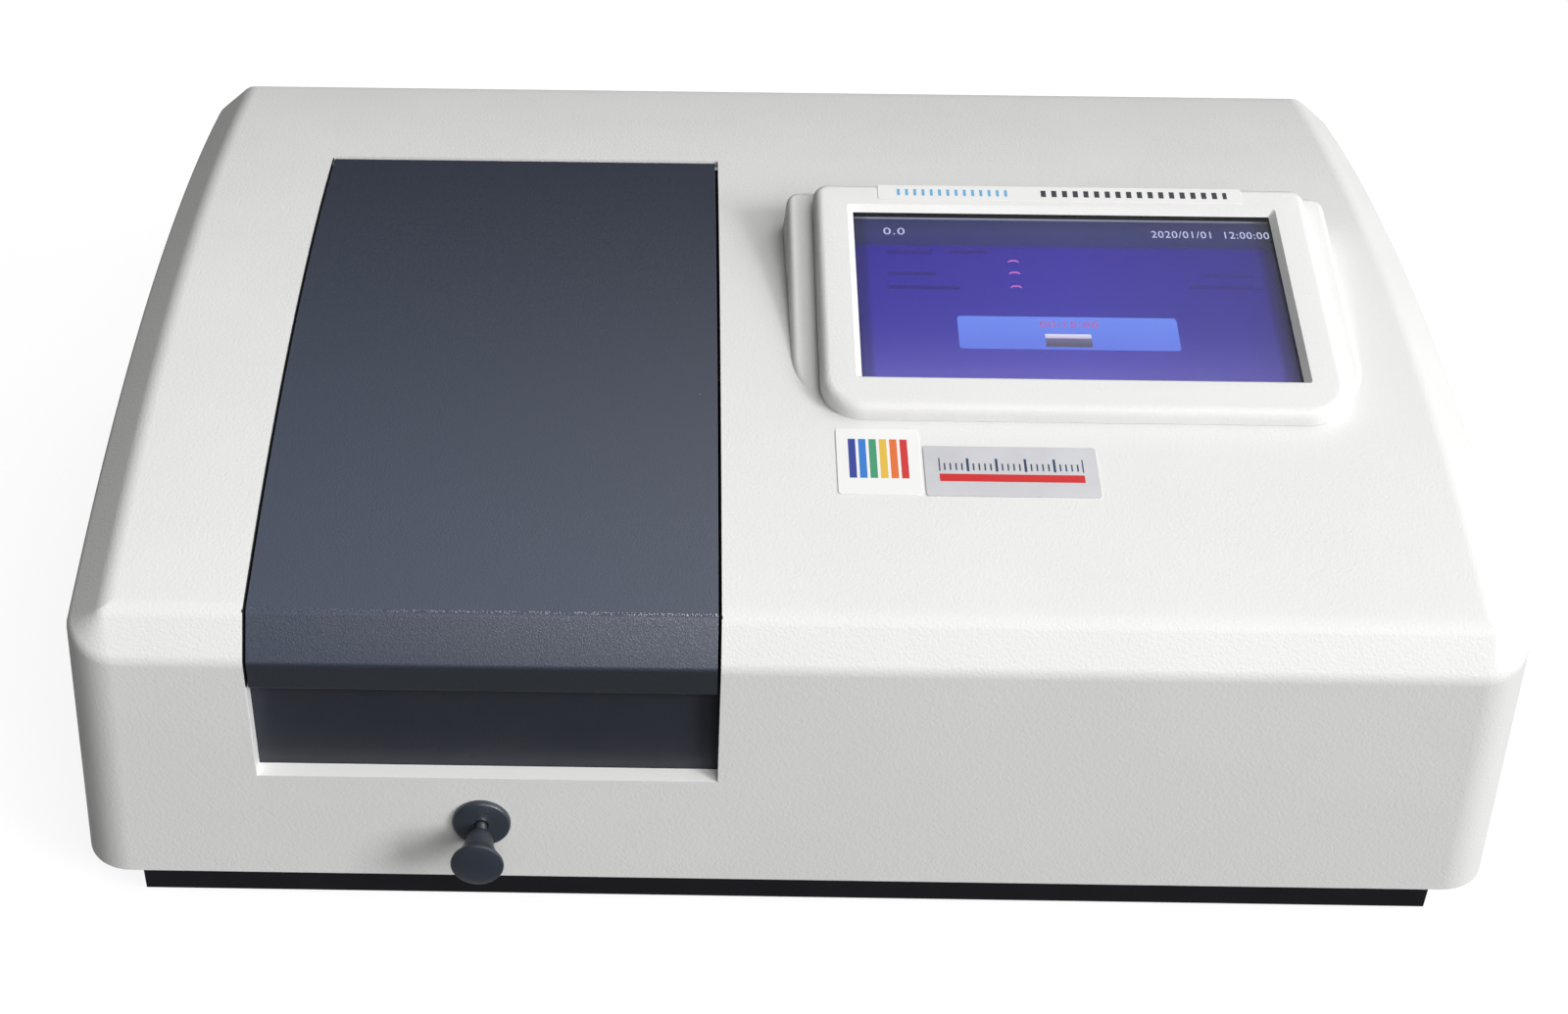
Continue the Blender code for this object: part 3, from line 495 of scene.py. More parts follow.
def make_materials():
    """One material for each slot that the CAD names."""
    made = {}
    made["cover_white"] = (
        Surface("moulded_cover_white", (0.80, 0.80, 0.79), 0.48)
        .mottle(60, (0.785, 0.785, 0.772))
        .uneven_gloss(25, 0.04)
        .grain(1.3, 0.16)
        .grain(0.6, 0.05, 1.0)
    )
    made["lid_slate"] = (
        Surface("moulded_slate", (0.032, 0.040, 0.055), 0.36)
        .mottle(40, (0.035, 0.043, 0.059))
        .set("Specular IOR Level", 0.75)
        .uneven_gloss(1.5, 0.07)
        .grain(0.9, 0.07)
        .grain(0.45, 0.04, 1.0)
    )
    made["panel_dark"] = (
        Surface("dark_panel", (0.022, 0.025, 0.036), 0.5).mottle(30, (0.025, 0.028, 0.039)).grain(0.9, 0.08)
    )
    made["base_black"] = (
        Surface("black_powder_coat", (0.003, 0.003, 0.006), 0.6)
        .mottle(20, (0.005, 0.005, 0.009))
        .grain(0.7, 0.08)
    )
    made["steel"] = (
        Surface("brushed_steel", (0.56, 0.56, 0.57), 0.32, 1.0)
        .mottle(8, (0.50, 0.50, 0.51))
        .uneven_gloss(6, 0.06)
        .grain(0.25, 0.012, 2.0, (0.04, 1.0, 1.0))
    )
    made["aluminium"] = (
        Surface("machined_aluminium", (0.62, 0.63, 0.64), 0.38, 1.0)
        .mottle(12, (0.57, 0.58, 0.59))
        .uneven_gloss(9, 0.05)
        .grain(0.3, 0.010, 2.0, (1.0, 0.05, 1.0))
    )
    made["black_anodised"] = (
        Surface("black_anodising", (0.026, 0.026, 0.028), 0.42, 0.3)
        .mottle(15, (0.031, 0.031, 0.033))
        .grain(0.4, 0.02)
    )
    made["rubber"] = (
        Surface("foot_rubber", (0.016, 0.016, 0.016), 0.85).mottle(4, (0.022, 0.022, 0.021)).grain(0.5, 0.05)
    )
    made["black_plastic"] = (
        Surface("black_moulding", (0.014, 0.014, 0.015), 0.42)
        .mottle(10, (0.018, 0.018, 0.019))
        .grain(0.6, 0.04)
    )
    made["mirror"] = (
        Surface("mirror_coating", (0.91, 0.91, 0.92), 0.03, 1.0)
        .mottle(10, (0.88, 0.88, 0.90))
        .uneven_gloss(10, 0.01)
    )
    made["board_green"] = (
        Surface("solder_mask", (0.010, 0.075, 0.030), 0.35).mottle(3, (0.014, 0.095, 0.038)).grain(1.5, 0.03)
    )
    made["brass"] = (
        Surface("turned_brass", (0.62, 0.42, 0.16), 0.3, 1.0)
        .mottle(5, (0.55, 0.37, 0.14))
        .uneven_gloss(3, 0.05)
        .grain(0.3, 0.01)
    )
    made["label_white"] = (
        Surface("label_paper", (0.86, 0.86, 0.85), 0.38).mottle(15, (0.84, 0.84, 0.83)).grain(0.5, 0.01)
    )
    made["label_grey"] = (
        Surface("label_foil", (0.46, 0.46, 0.48), 0.33, 0.35)
        .mottle(20, (0.50, 0.50, 0.52))
        .grain(0.3, 0.006, 2.0, (0.05, 1.0, 1.0))
    )
    made["screen_blue"] = Surface("display_blue", (0.03, 0.03, 0.05), 0.25).mottle(30, (0.035, 0.035, 0.06))
    made["touch_glass"] = (
        Surface("window_glass", (0.95, 0.96, 0.98), 0.02)
        .uneven_gloss(30, 0.008)
        .set("Transmission Weight", 1.0)
        .set("IOR", 1.22)
    )
    made["lamp_glass"] = (
        Surface("quartz_glass", (0.97, 0.97, 0.97), 0.03)
        .uneven_gloss(12, 0.01)
        .set("Transmission Weight", 1.0)
        .set("IOR", 1.46)
    )
    return {slot: surface.material for slot, surface in made.items()}


MATERIALS = make_materials()


# ------------------------------------------------------------- shared surfaces


def top_z(y):
    """Height of the arched top, which is level from side to side."""
    t = (y - END_BEVEL) / (DEPTH - 2 * END_BEVEL)
    return CREASE_FRONT + ARCH_RISE * 4 * t * (1 - t) + REAR_RISE * t


def arch(start, end, drop, steps):
    """Points (y, z) that follow the arched top at a distance of drop below it."""
    places = [start + (end - start) * i / steps for i in range(steps + 1)]
    return [(y, top_z(y) - drop) for y in places]


HINGE_Z = top_z(HINGE_Y) - BARREL_RADIUS


def body_form(name, inset, low, side_steps=96, corner_steps=12, round_steps=6, top_columns=1):
    """The body's outer form as one solid, drawn in all round by inset.

    Each column of points climbs a wall, turns over a soft edge onto the bevel and over
    another one onto the arched top.
    """
    half = HALF_WIDTH - inset
    radius = CORNER_RADIUS - inset
    crease_half = HALF_WIDTH - SIDE_BEVEL - inset / 2
    crease_front = END_BEVEL + inset / 2
    crease_rear = DEPTH - END_BEVEL - inset / 2
    lowered = 0.6 * inset

    def wall_top(y):
        return top_z(y) - SIDE_BEVEL_DROP - lowered

    def column(x, y, z, crease, inward):
        """Points up one column of the right-hand half."""
        flare = WALL_FLARE * (z - low) / (z - COVER.z0)
        foot = (x + flare, y, low)
        edge = (x, y, z)
        ridge = (*crease, top_z(crease[1]) - inset)
        inner = (*inward, top_z(inward[1]) - inset)
        points = [foot] + rounded_corner(foot, edge, ridge, WALL_ROUND, round_steps)
        start = Vector(ridge) + (Vector(edge) - Vector(ridge)).normalized() * CREASE_ROUND
        return points + soft_curve(start, Vector(ridge), Vector(inner), round_steps)

    def corner(y_tangent, end_top, crease_y, toward_rear):
        """The right-hand corner's columns, from the end wall to the side wall."""
        columns = []
        step_in = -CREASE_ROUND if toward_rear else CREASE_ROUND
        for i in range(corner_steps):
            angle = pi / 2 * i / corner_steps
            x = half - radius + radius * sin(angle)
            reach = radius * (1 - cos(angle))
            y = DEPTH - inset - reach if toward_rear else inset + reach
            share = 0.5 - 0.5 * cos(2 * angle)
            z = end_top + (wall_top(y_tangent) - end_top) * share
            inward = (crease_half - CREASE_ROUND, crease_y + step_in)
            columns.append(column(x, y, z, (crease_half, crease_y), inward))
        return columns

    rear_top = top_z(DEPTH - END_BEVEL) - END_BEVEL_DROP - lowered
    right = corner(inset + radius, FRONT_WALL_TOP - lowered, crease_front, False)
    span = DEPTH - 2 * inset - 2 * radius
    for i in range(side_steps + 1):
        y = inset + radius + span * i / side_steps
        right.append(column(half, y, wall_top(y), (crease_half, y), (crease_half - CREASE_ROUND, y)))
    right += reversed(corner(DEPTH - inset - radius, rear_top, crease_rear, True))

    builder = bmesh.new()
    for side in (1, -1):
        for points in right:
            for x, y, z in points:
                builder.verts.new(world((side * x, y, z)))
    bmesh.ops.remove_doubles(builder, verts=builder.verts, dist=1e-7)
    found = {tuple(round(c, 7) for c in vert.co): vert for vert in builder.verts}

    def vertex(side, point):
        x, y, z = point
        co = world((side * x, y, z))
        key = tuple(round(c, 7) for c in co)
        return found.get(key) or min(builder.verts, key=lambda vert: (vert.co - co).length)

    right_side = [[vertex(1, point) for point in points] for points in right]
    left_side = [[vertex(-1, point) for point in points] for points in right]
    rows = []
    for right_end, left_end in zip(right_side, left_side):
        if rows and rows[-1][0] is right_end[-1]:
            continue
        shares = [i / top_columns for i in range(1, top_columns)]
        between = [builder.verts.new(right_end[-1].co.lerp(left_end[-1].co, share)) for share in shares]
        rows.append([right_end[-1], *between, left_end[-1]])
    between_ends = {
        (rows[0][0], rows[0][-1]): rows[0][1:-1],
        (rows[-1][-1], rows[-1][0]): rows[-1][1:-1][::-1],
    }
    ring = right_side + left_side[::-1]
    for i, here in enumerate(ring):
        there = ring[(i + 1) % len(ring)]
        for k in range(len(here) - 1):
            corners = []
            between = between_ends.get((there[k + 1], here[k + 1]), [])
            for vert in (here[k], there[k], there[k + 1], *between, here[k + 1]):
                if vert not in corners:
                    corners.append(vert)
            if len(corners) > 2:
                builder.faces.new(corners)
    builder.faces.new([points[0] for points in ring])
    for here, there in zip(rows, rows[1:]):
        for i in range(top_columns):
            builder.faces.new((here[i], there[i], there[i + 1], here[i + 1]))
    return new_piece(name, builder)


def display_point(x, up, depth):
    """A place given by x, the way up the display's slope, and the depth below its face."""
    y = WINDOW_LOW[0] + up * cos(DISPLAY_TILT) + depth * sin(DISPLAY_TILT)
    z = WINDOW_LOW[1] + up * sin(DISPLAY_TILT) - depth * cos(DISPLAY_TILT)
    return (DISPLAY_X + x, y, z)


def rounded_outline(left, right, low, high, low_radius, high_radius, steps=12):
    """A rectangle with round corners, anticlockwise from its lower left corner."""
    corners = [
        (left + low_radius, low + low_radius, low_radius, 180),
        (right - low_radius, low + low_radius, low_radius, 270),
        (right - high_radius, high - high_radius, high_radius, 0),
        (left + high_radius, high - high_radius, high_radius, 90),
    ]
    points = []
    for x, y, radius, start in corners:
        for i in range(steps + 1):
            angle = radians(start + 90 * i / steps)
            points.append((x + radius * cos(angle), y + radius * sin(angle)))
    return points


def display_slab(name, left, right, low, high, radii, layers, steps=12):
    """A slab parallel to the display's face, through layers of (inset, depth)."""
    rings = []
    for inset, depth in layers:
        low_radius, high_radius = (max(radius - inset, 0.3) for radius in radii)
        edges = (*within((left, right), inset), *within((low, high), inset))
        outline = rounded_outline(*edges, low_radius, high_radius, steps)
        rings.append([display_point(x, up, depth) for x, up in outline])
    return loft(name, rings)


def quarter_round(radius, face, steps):
    """Layers (inset, depth) of a rounded upper edge that ends in the face."""
    layers = []
    for i in range(steps + 1):
        angle = pi / 2 * i / steps
        layers.append((radius * (1 - cos(angle)), face + radius * (1 - sin(angle))))
    return layers


# ------------------------------------------------------------------ the casing


def pedestal(name, inset, detail=True):
    """The raised seat that carries the display, down to well below the body's top."""
    high = WINDOW_HEIGHT + BEZEL_ABOVE + 4.0 - inset
    half = BEZEL_HALF + 12.0 - inset
    face = BEZEL_DEPTH + 0.3 + inset
    layers = [(-3.0, 60.0)] + (quarter_round(3.2, face, 8) if detail else [(0.0, face)])
    return display_slab(name, -half, half, -24.0 + inset, high, (44.0 - inset, 6.5), layers, 16)


def cover_shell():
    """The hollow cover with its seat, the rim round the lid's opening and all its holes."""
    cover = join(body_form("cover_shell", 0.0, COVER.z0, top_columns=30), pedestal("seat", 0.0))
    hollow = body_form("hollow", WALL, COVER.z0 - 5, 24, 4, 2)
    cut(cover, join(hollow, pedestal("seat_hollow", WALL, detail=False)))
    rim = body_form("rim", WALL / 2, COVER.z0, 48, 6, 3)
    cut(rim, body_form("rim_hollow", RETURN_DEPTH, COVER.z0 - 5, 48, 6, 3))
    sides, clear_above = (OPEN_LEFT - WALL, OPEN_RIGHT + WALL), 300
    around = box("around", sides, (-10, OPEN_REAR + WALL), (OPEN_LOW - WALL, clear_above))
    combine(rim, "INTERSECT", around)
    join(cover, rim)
    cut(
        cover,
        box("opening", (OPEN_LEFT, OPEN_RIGHT), (-10, OPEN_REAR), (OPEN_LOW, clear_above)),
        cylinder("X", (HINGE_Y, HINGE_Z), PIN_HOLE, (OPEN_LEFT - 10, OPEN_RIGHT + 10)),
        cylinder("Y", PLATE, 5.0, (-5, 10), 32),
        box("rear_cutout", REAR_ACROSS, (DEPTH - 8, DEPTH + 5), REAR_TALL),
        display_slab("display_hole", *DISPLAY_HOLE, (3, 3), [(0, 80), (0, 5)]),
    )
    round_edges(resmooth(cover, 30), 0.45, 3, 50)
    weighted = cover.modifiers.new("even_shading", "WEIGHTED_NORMAL")
    weighted.keep_sharp = True
    weighted.weight = 80
    finish(cover, "cover_white", "top_cover")


def bezel():
    """The display's surround, cut to sit on the body's arched top."""
    layers = [(0.5, BEZEL_DEPTH), (0.0, BEZEL_DEPTH - 0.8)] + quarter_round(4.6, 0.0, 12)
    high = WINDOW_HEIGHT + BEZEL_ABOVE
    surround = display_slab("bezel_frame", *about(0, BEZEL_HALF), -BEZEL_BELOW, high, (19.0, 7.0), layers)
    chamfer, slack = 2.9, 0.6
    slope = [(chamfer, GLASS_DEPTH), (0.0, 0.0), (-1.0, -1.0)]
    edges = (*about(0, WINDOW_HALF), -slack, WINDOW_HEIGHT + slack)
    window = display_slab("window", *edges, (1.5, 1.5), slope, 4)
    pocket = display_slab("pocket", -102, 102, -3, 110, (2, 2), [(0, 20), (0, GLASS_DEPTH - 0.1)], 4)
    cut(surround, window, pocket, body_form("body_below", -0.3, COVER.z0, 48, 6, 3))
    finish(round_edges(resmooth(surround), 0.35, 2, 30), "cover_white", "display_bezel")


def srgb(red, green, blue):
    """A colour from its 0 to 255 screen values."""
    return tuple(((c / 255 + 0.055) / 1.055) ** 2.4 if c > 10 else c / 3294.6 for c in (red, green, blue))


def stops(*rows):
    """Stops of a colour ramp, from rows of a place and three screen values."""
    return [(place, srgb(*values)) for place, *values in rows]


def screen_surface():
    """The lit display: header bar, violet field and the dark margin round them, with a painted reflection
    that makes the field paler and lilac toward the bottom.
    """
    surface = Surface("lit_display", (0.004, 0.004, 0.006), 0.5).set("Specular IOR Level", 0.1)
    across, up, _ = surface.axes("UV")
    # The lowest stops are a painted reflection: the field paler and more lilac toward the bottom.
    field_and_reflection = stops(
        (0.00, 108, 100, 196),
        (0.12, 90, 82, 188),
        (0.30, 66, 57, 174),
        (0.50, 56, 47, 169),
        (0.72, 52, 40, 165),
        (0.785, 50, 38, 159),
    )
    header = stops(
        (0.800, 46, 48, 119),
        (0.880, 50, 58, 117),
        (0.950, 42, 46, 99),
        (0.955, 150, 156, 176),
        (0.961, 150, 156, 176),
        (0.965, 16, 16, 20),
        (1.00, 12, 12, 15),
    )
    height = surface.colour_steps(up, field_and_reflection + header)
    margin = surface.colour_steps(
        across,
        [
            (0.000, (0.20, 0.20, 0.20)),
            (0.008, (0.55, 0.55, 0.50)),
            (0.026, (0.66, 0.66, 0.60)),
            (0.036, (0.95, 0.95, 0.95)),
            (0.500, (1.05, 1.05, 1.05)),
            (0.900, (0.80, 0.80, 0.80)),
            (0.955, (0.70, 0.70, 0.70)),
            (0.968, (0.40, 0.40, 0.40)),
            (1.000, (0.05, 0.05, 0.05)),
        ],
    )
    picture = surface.blended(1.0, height, margin, blend_type="MULTIPLY")
    dust = surface.ramp(surface.spots(90.0), 0.012, 0.022, 0.35, 0.0)
    return surface.lit(surface.blended(dust, picture, (0.75, 0.75, 0.85)), 0.86)


def on_display(obj, x, up, depth):
    """Lays a flat mesh, drawn in metres in the XY plane, on the display's slope."""
    place = Matrix.Translation(world(display_point(x, up, depth)))
    obj.data.transform(place @ Matrix.Rotation(DISPLAY_TILT, 4, "X"))
    return obj


def digits(name, text, x, up, height, stretch, depth, look):
    """Flat figures centred at a place on the display."""
    curve = bpy.data.curves.new(name, "FONT")
    curve.body = text
    curve.size = height * MM / 0.7
    curve.align_x = "CENTER"
    curve.align_y = "CENTER"
    curve.extrude = 0.03 * MM
    curve.space_character = 1.12
    writing = bpy.data.objects.new(name, curve)
    bpy.context.scene.collection.objects.link(writing)
    bpy.context.view_layer.update()
    mesh = bpy.data.meshes.new_from_object(writing)
    bpy.data.objects.remove(writing)
    mesh.transform(Matrix.Diagonal((stretch, 1.0, 1.0, 1.0)))
    obj = bpy.data.objects.new(name, mesh)
    bpy.context.scene.collection.objects.link(obj)
    finish(on_display(obj, x, up, depth), "screen_blue", look=look)


def lit_panel():
    """The display module, whose face carries the coordinates that its picture is drawn in."""
    face, picture_half, picture_height = 5.2, 97.0, 107.0
    panel = display_slab("screen_panel", *GLASS_EDGES, (1, 1), [(0, 11.6), (0, face)], 3)
    layer = panel.data.uv_layers.new(name="face")
    middle = world(display_point(0, 0, face))
    facing = Vector((0.0, -sin(DISPLAY_TILT), cos(DISPLAY_TILT)))
    for polygon in panel.data.polygons:
        lit = polygon.normal.dot(facing) > 0.9
        for index in polygon.loop_indices:
            place = (panel.data.vertices[panel.data.loops[index].vertex_index].co - middle) / MM
            up = place.y * cos(DISPLAY_TILT) + place.z * sin(DISPLAY_TILT)
            share = (place.x + picture_half) / (2 * picture_half)
            layer.data[index].uv = (share, up / picture_height) if lit else (1.0, 1.0)
    finish(panel, "screen_blue", "lcd_module", look=screen_surface())


def screen_shapes():
    """The pop-up with its button, the faint rows and the three arcs on the display."""
    pop_up = Surface("pop_up_blue", (0.02, 0.02, 0.03), 0.5).set("Specular IOR Level", 0.1)
    _, rise, _ = pop_up.axes()
    pop_up.lit(pop_up.colour_steps(rise, stops((0.0, 94, 118, 224), (1.0, 102, 134, 235))))
    button = Surface("button_grey", (0.02, 0.02, 0.03), 0.4)
    _, rise, _ = button.axes()
    shades = stops(
        (0.00, 84, 86, 140),
        (0.10, 58, 54, 78),
        (0.62, 92, 86, 130),
        (0.74, 196, 190, 214),
        (1.00, 226, 220, 238),
    )
    button.lit(button.colour_steps(rise, shades))
    pink = Surface("mark_pink", (0.05, 0.02, 0.03), 0.4).lit(srgb(190, 96, 190))
    ghost = Surface("row_dark", (0.004, 0.004, 0.008), 0.5).set("Specular IOR Level", 0.1)
    ghost.lit(srgb(42, 32, 124))
    thin = [(0, 5.15), (0, 5.05)]
    plate = display_slab("screen_pop_up", -52.4, 46.0, 21.2, 40.8, (1.6, 1.6), thin, 6)
    finish(plate, "screen_blue", look=pop_up)
    plate = display_slab("screen_button", -13.8, 6.8, 22.6, 30.4, (0.6, 0.6), [(0, 5.02), (0, 4.98)], 3)
    finish(plate, "screen_blue", look=button)
    rows = [(-82, -61, 80.6), (-53.5, -35, 81), (-82.5, -60, 66.8)]
    rows += [(-83, -49.5, 58.2), (55, 88, 60.5), (62, 84, 68)]
    for i, (left, right, up) in enumerate(rows):
        plate = display_slab(f"screen_row_{i}", left, right, *about(up, 1.1), (0.8, 0.8), thin, 3)
        finish(plate, "screen_blue", look=ghost)
    turns = [pi * k / 16 for k in range(17)]
    crescent = [(2.6 * cos(a), 1.6 * sin(a)) for a in turns]
    crescent += [(2.0 * cos(a), 0.7 * sin(a)) for a in reversed(turns)]
    for i, up in enumerate((74.6, 67.2, 58.6)):
        rings = [[display_point(-24.2 + x, up + y, depth) for x, y in crescent] for _, depth in thin]
        finish(loft(f"screen_arc_{i}", rings), "screen_blue", look=pink)


def screen():
    """The lit display with its figures, and the glass in front of it."""
    lit_panel()
    screen_shapes()
    white = Surface("figure_white", (0.05, 0.05, 0.05), 0.4).lit(srgb(188, 192, 226))
    red = Surface("figure_red", (0.05, 0.02, 0.03), 0.4).lit(srgb(178, 70, 150))
    digits("screen_reading", "0.0", -78.0, 93.6, 4.3, 1.25, 5.1, white)
    digits("screen_clock", "2020/01/01  12:00:00", 68.6, 93.6, 4.3, 0.92, 5.1, white)
    digits("screen_countdown", "00:15:00", -2.6, 36.2, 3.6, 1.35, 5.0, red)
    cover = display_slab("glass_plate", *GLASS_EDGES, (1.5, 1.5), [(0, 4.9), (0, 3.0)], 4)
    finish(cover, "touch_glass", "touch_glass")


# ------------------------------------------------------------------- the labels


def draped_label(name, node, corner=1.4, steps=6):
    """A thin sticker with round corners that follows the arched top."""
    place = Extent(node)
    turn = [pi / 2 * i / steps for i in range(steps + 1)]
    bends = [(corner * (1 - sin(a)), corner * (1 - cos(a))) for a in turn]
    straight = place.y1 - place.y0 - 2 * corner
    rows = [(place.y0 + reach, inset) for reach, inset in reversed(bends)]
    rows += [(place.y0 + corner + straight * i / 10, 0.0) for i in range(1, 10)]
    rows += [(place.y1 - reach, inset) for reach, inset in bends]
    rings = []
    for y, inset in rows:
        left, right = place.x0 + inset, place.x1 - inset
        low, high = top_z(y) + 0.12, top_z(y) + 0.45
        rings.append([(left, y, low), (right, y, low), (right, y, high), (left, y, high)])
    return round_edges(loft(name, rings), 0.1, 2, 60)


def spectrum_badge():
    """White badge with upright bars in the order of the visible spectrum."""
    paper = (0.86, 0.86, 0.85)
    surface = Surface("badge_print", paper, 0.30)
    across, along, _ = surface.axes()
    spectrum = stops(
        (0.00, 38, 60, 150),
        (0.25, 40, 120, 205),
        (0.375, 60, 150, 110),
        (0.50, 226, 186, 60),
        (0.625, 226, 110, 44),
        (0.75, 206, 38, 38),
    )
    bars = surface.colour_steps(across, spectrum, "CONSTANT")
    inside = surface.times(surface.band(across, 0.5, 0.375), surface.band(along, 0.54, 0.30))
    shown = surface.times(inside, surface.ticks(across, 8.0, 0.36))
    surface.set("Base Color", surface.blended(shown, paper, bars)).grain(0.6, 0.006)
    finish(draped_label("spectrum_badge", "badge_white"), "label_white", "badge_white", look=surface)


def scale_badge():
    """Silver badge with a plain wavelength scale and a red band under it."""
    surface = Surface("scale_print", (0.46, 0.46, 0.48), 0.33, 0.25)
    across, along, _ = surface.axes()
    blotches = surface.ramp(surface.noise(14), 0.35, 0.65, 0.0, 1.0)
    marked = surface.blended(blotches, (0.58, 0.58, 0.61), (0.62, 0.62, 0.65))
    inside = surface.band(across, 0.5, 0.417)
    for count, half, middle, reach in ((30.0, 0.14, 0.58, 0.07), (6.0, 0.045, 0.62, 0.13)):
        ticks = surface.times(surface.ticks(across, count, half), surface.band(along, middle, reach))
        ticks = surface.times(ticks, inside)
        marked = surface.blended(ticks, marked, srgb(36, 62, 92))
    stripe = surface.times(surface.band(along, 0.36, 0.075), inside)
    surface.set("Base Color", surface.blended(stripe, marked, srgb(206, 34, 36)))
    surface.grain(0.3, 0.004, 2.0, (0.05, 1.0, 1.0))
    finish(draped_label("scale_badge", "badge_grey"), "label_grey", "badge_grey", look=surface)


def bezel_scale():
    """The strip above the display: pale blue marks to the left, dark ones to the right."""
    marked = (0.80, 0.80, 0.79)
    surface = Surface("strip_print", marked, 0.42)
    across, along, _ = surface.axes()
    for count, half, middle, reach, colour in (
        (44.0, 0.18, 0.20, 0.16, srgb(96, 168, 214)),
        (34.0, 0.24, 0.70, 0.26, srgb(40, 44, 52)),
    ):
        ticks = surface.times(surface.ticks(across, count, half), surface.band(along, 0.5, 0.22))
        ticks = surface.times(ticks, surface.band(across, middle, reach))
        marked = surface.blended(ticks, marked, colour)
    surface.set("Base Color", marked).grain(0.5, 0.01)
    left, right = (edge - DISPLAY_X for edge in Extent("bezel_strip").across)
    layers = [(0, -0.02), (0, -0.15), (0.12, -0.26)]
    plate = display_slab("scale_strip", left, right, 110.0, 119.5, (0.8, 0.8), layers, 4)
    finish(plate, "label_white", "bezel_strip", look=surface)


# ------------------------------------------------------------- the sample lid


def lid_surface():
    """Slate moulding with dust specks, and painted light: a painted sheen that makes it paler toward the
    front, painted shades on the front bevel and the lip, and painted glints along the front crease.
    """
    # The rear and front colours are one slate, shown lit less at the rear and more at the front. The bevel
    # and lip colours are painted shades for faces turned other ways.
    rear, front = (0.035, 0.043, 0.064), (0.059, 0.073, 0.109)
    bevel_shade, lip = (0.041, 0.052, 0.083), (0.030, 0.035, 0.044)
    surface = Surface("slate_with_painted_light", rear, 0.36).set("Specular IOR Level", 0.75)
    surface.uneven_gloss(1.5, 0.07).grain(0.9, 0.07).grain(0.45, 0.04, 1.0)
    axes = surface.axes("Object")
    # Painted sheen: the slate grows paler toward the front.
    forward = surface.ramp(axes["Y"], FRONT_Y, FRONT_Y + HINGE_Y * MM, 1.0, 0.0)
    colour = surface.blended(forward, rear, front)
    # Painted shade: the front bevel and the lip below it take their own colours.
    for height, below in ((CREASE_FRONT, bevel_shade), (FRONT_WALL_TOP, lip)):
        past = surface.ramp(axes["Z"], (height - 1.5) * MM, (height + 0.5) * MM, 0.0, 1.0)
        colour = surface.blended(past, below, colour)
    # Painted glints: bright specks along the front crease and on the face just below it, more of them toward
    # the right where the light falls.
    rightward = surface.ramp(axes["X"], -0.20, -0.04, 0.15, 1.0)
    crease = FRONT_Y + (END_BEVEL + 0.6) * MM
    at_crease = surface.band(axes["Y"], crease, 0.5 * MM)
    below_crease = surface.band(axes["Y"], crease - 5.0 * MM, 5.0 * MM)
    crease_glints = surface.times(at_crease, surface.specks(1500.0, 0.40, 1.0))
    glints_below_crease = surface.times(below_crease, surface.specks(1400.0, 0.28, 0.4, 0.6))
    # The first specks are dust; the other two are painted glints.
    for spots, pale in (
        (surface.specks(45.0, 0.018, 0.5), (0.36, 0.39, 0.42)),
        (surface.times(crease_glints, rightward), (0.62, 0.64, 0.66)),
        (surface.times(glints_below_crease, rightward), (0.50, 0.53, 0.56)),
    ):
        colour = surface.blended(spots, colour, pale)
    return surface.set("Base Color", colour)


def lid_shell():
    """The lid with its soft edges and the hinge barrel along its rear."""
    left, right, lip = LID_LEFT, LID.x1, LID.z0
    corners = [(LID_SKIN, lip), (0, lip), (0, FRONT_WALL_TOP), (END_BEVEL, CREASE_FRONT), (60, top_z(60))]
    outer = softened(corners, [0.6, 0.8, 1.2, 2.2, 0], 6)
    crest = arch(66, HINGE_Y, 0, 60)
    barrel = []
    for i in range(1, 17):
        angle = pi / 2 - pi * i / 16
        y, z = BARREL_RADIUS * cos(angle), BARREL_RADIUS * sin(angle)
        barrel.append((HINGE_Y + y, HINGE_Z + z))
    inner = arch(HINGE_Y - 12, 30, LID_SKIN, 30)
    front = [(14, top_z(14) - LID_SKIN - 0.5), (LID_SKIN, FRONT_WALL_TOP - 1.8)]
    outline = outer + crest + barrel + inner + front
    lid = prism("lid_shell", "X", outline, left, right)
    skirt_low = [(300, top_z(300) - 18)] + arch(290, 24, 18, 16)
    front = [(12.5, FRONT_WALL_TOP + 3.4), (6.5, FRONT_WALL_TOP + 3.4), (6.5, lip + 0.5), (1, lip + 0.5)]
    upper = [(1, FRONT_WALL_TOP - 1)] + arch(14, 300, 2, 24)
    for name, x0, x1 in (("skirt_left", left + 0.2, LID.x0 + 3), ("skirt_right", right - 3, right - 0.2)):
        join(lid, prism(name, "X", skirt_low + front + upper, x0, x1))
    for reach in ((left - 5, left + 14), (right - 14, right + 5)):
        cut(lid, cylinder("X", (HINGE_Y, HINGE_Z), PIN_HOLE, reach))
    round_edges(resmooth(lid), 0.6, 3, 50)
    finish(lid, "lid_slate", "sample_lid", body="lid", look=lid_surface())


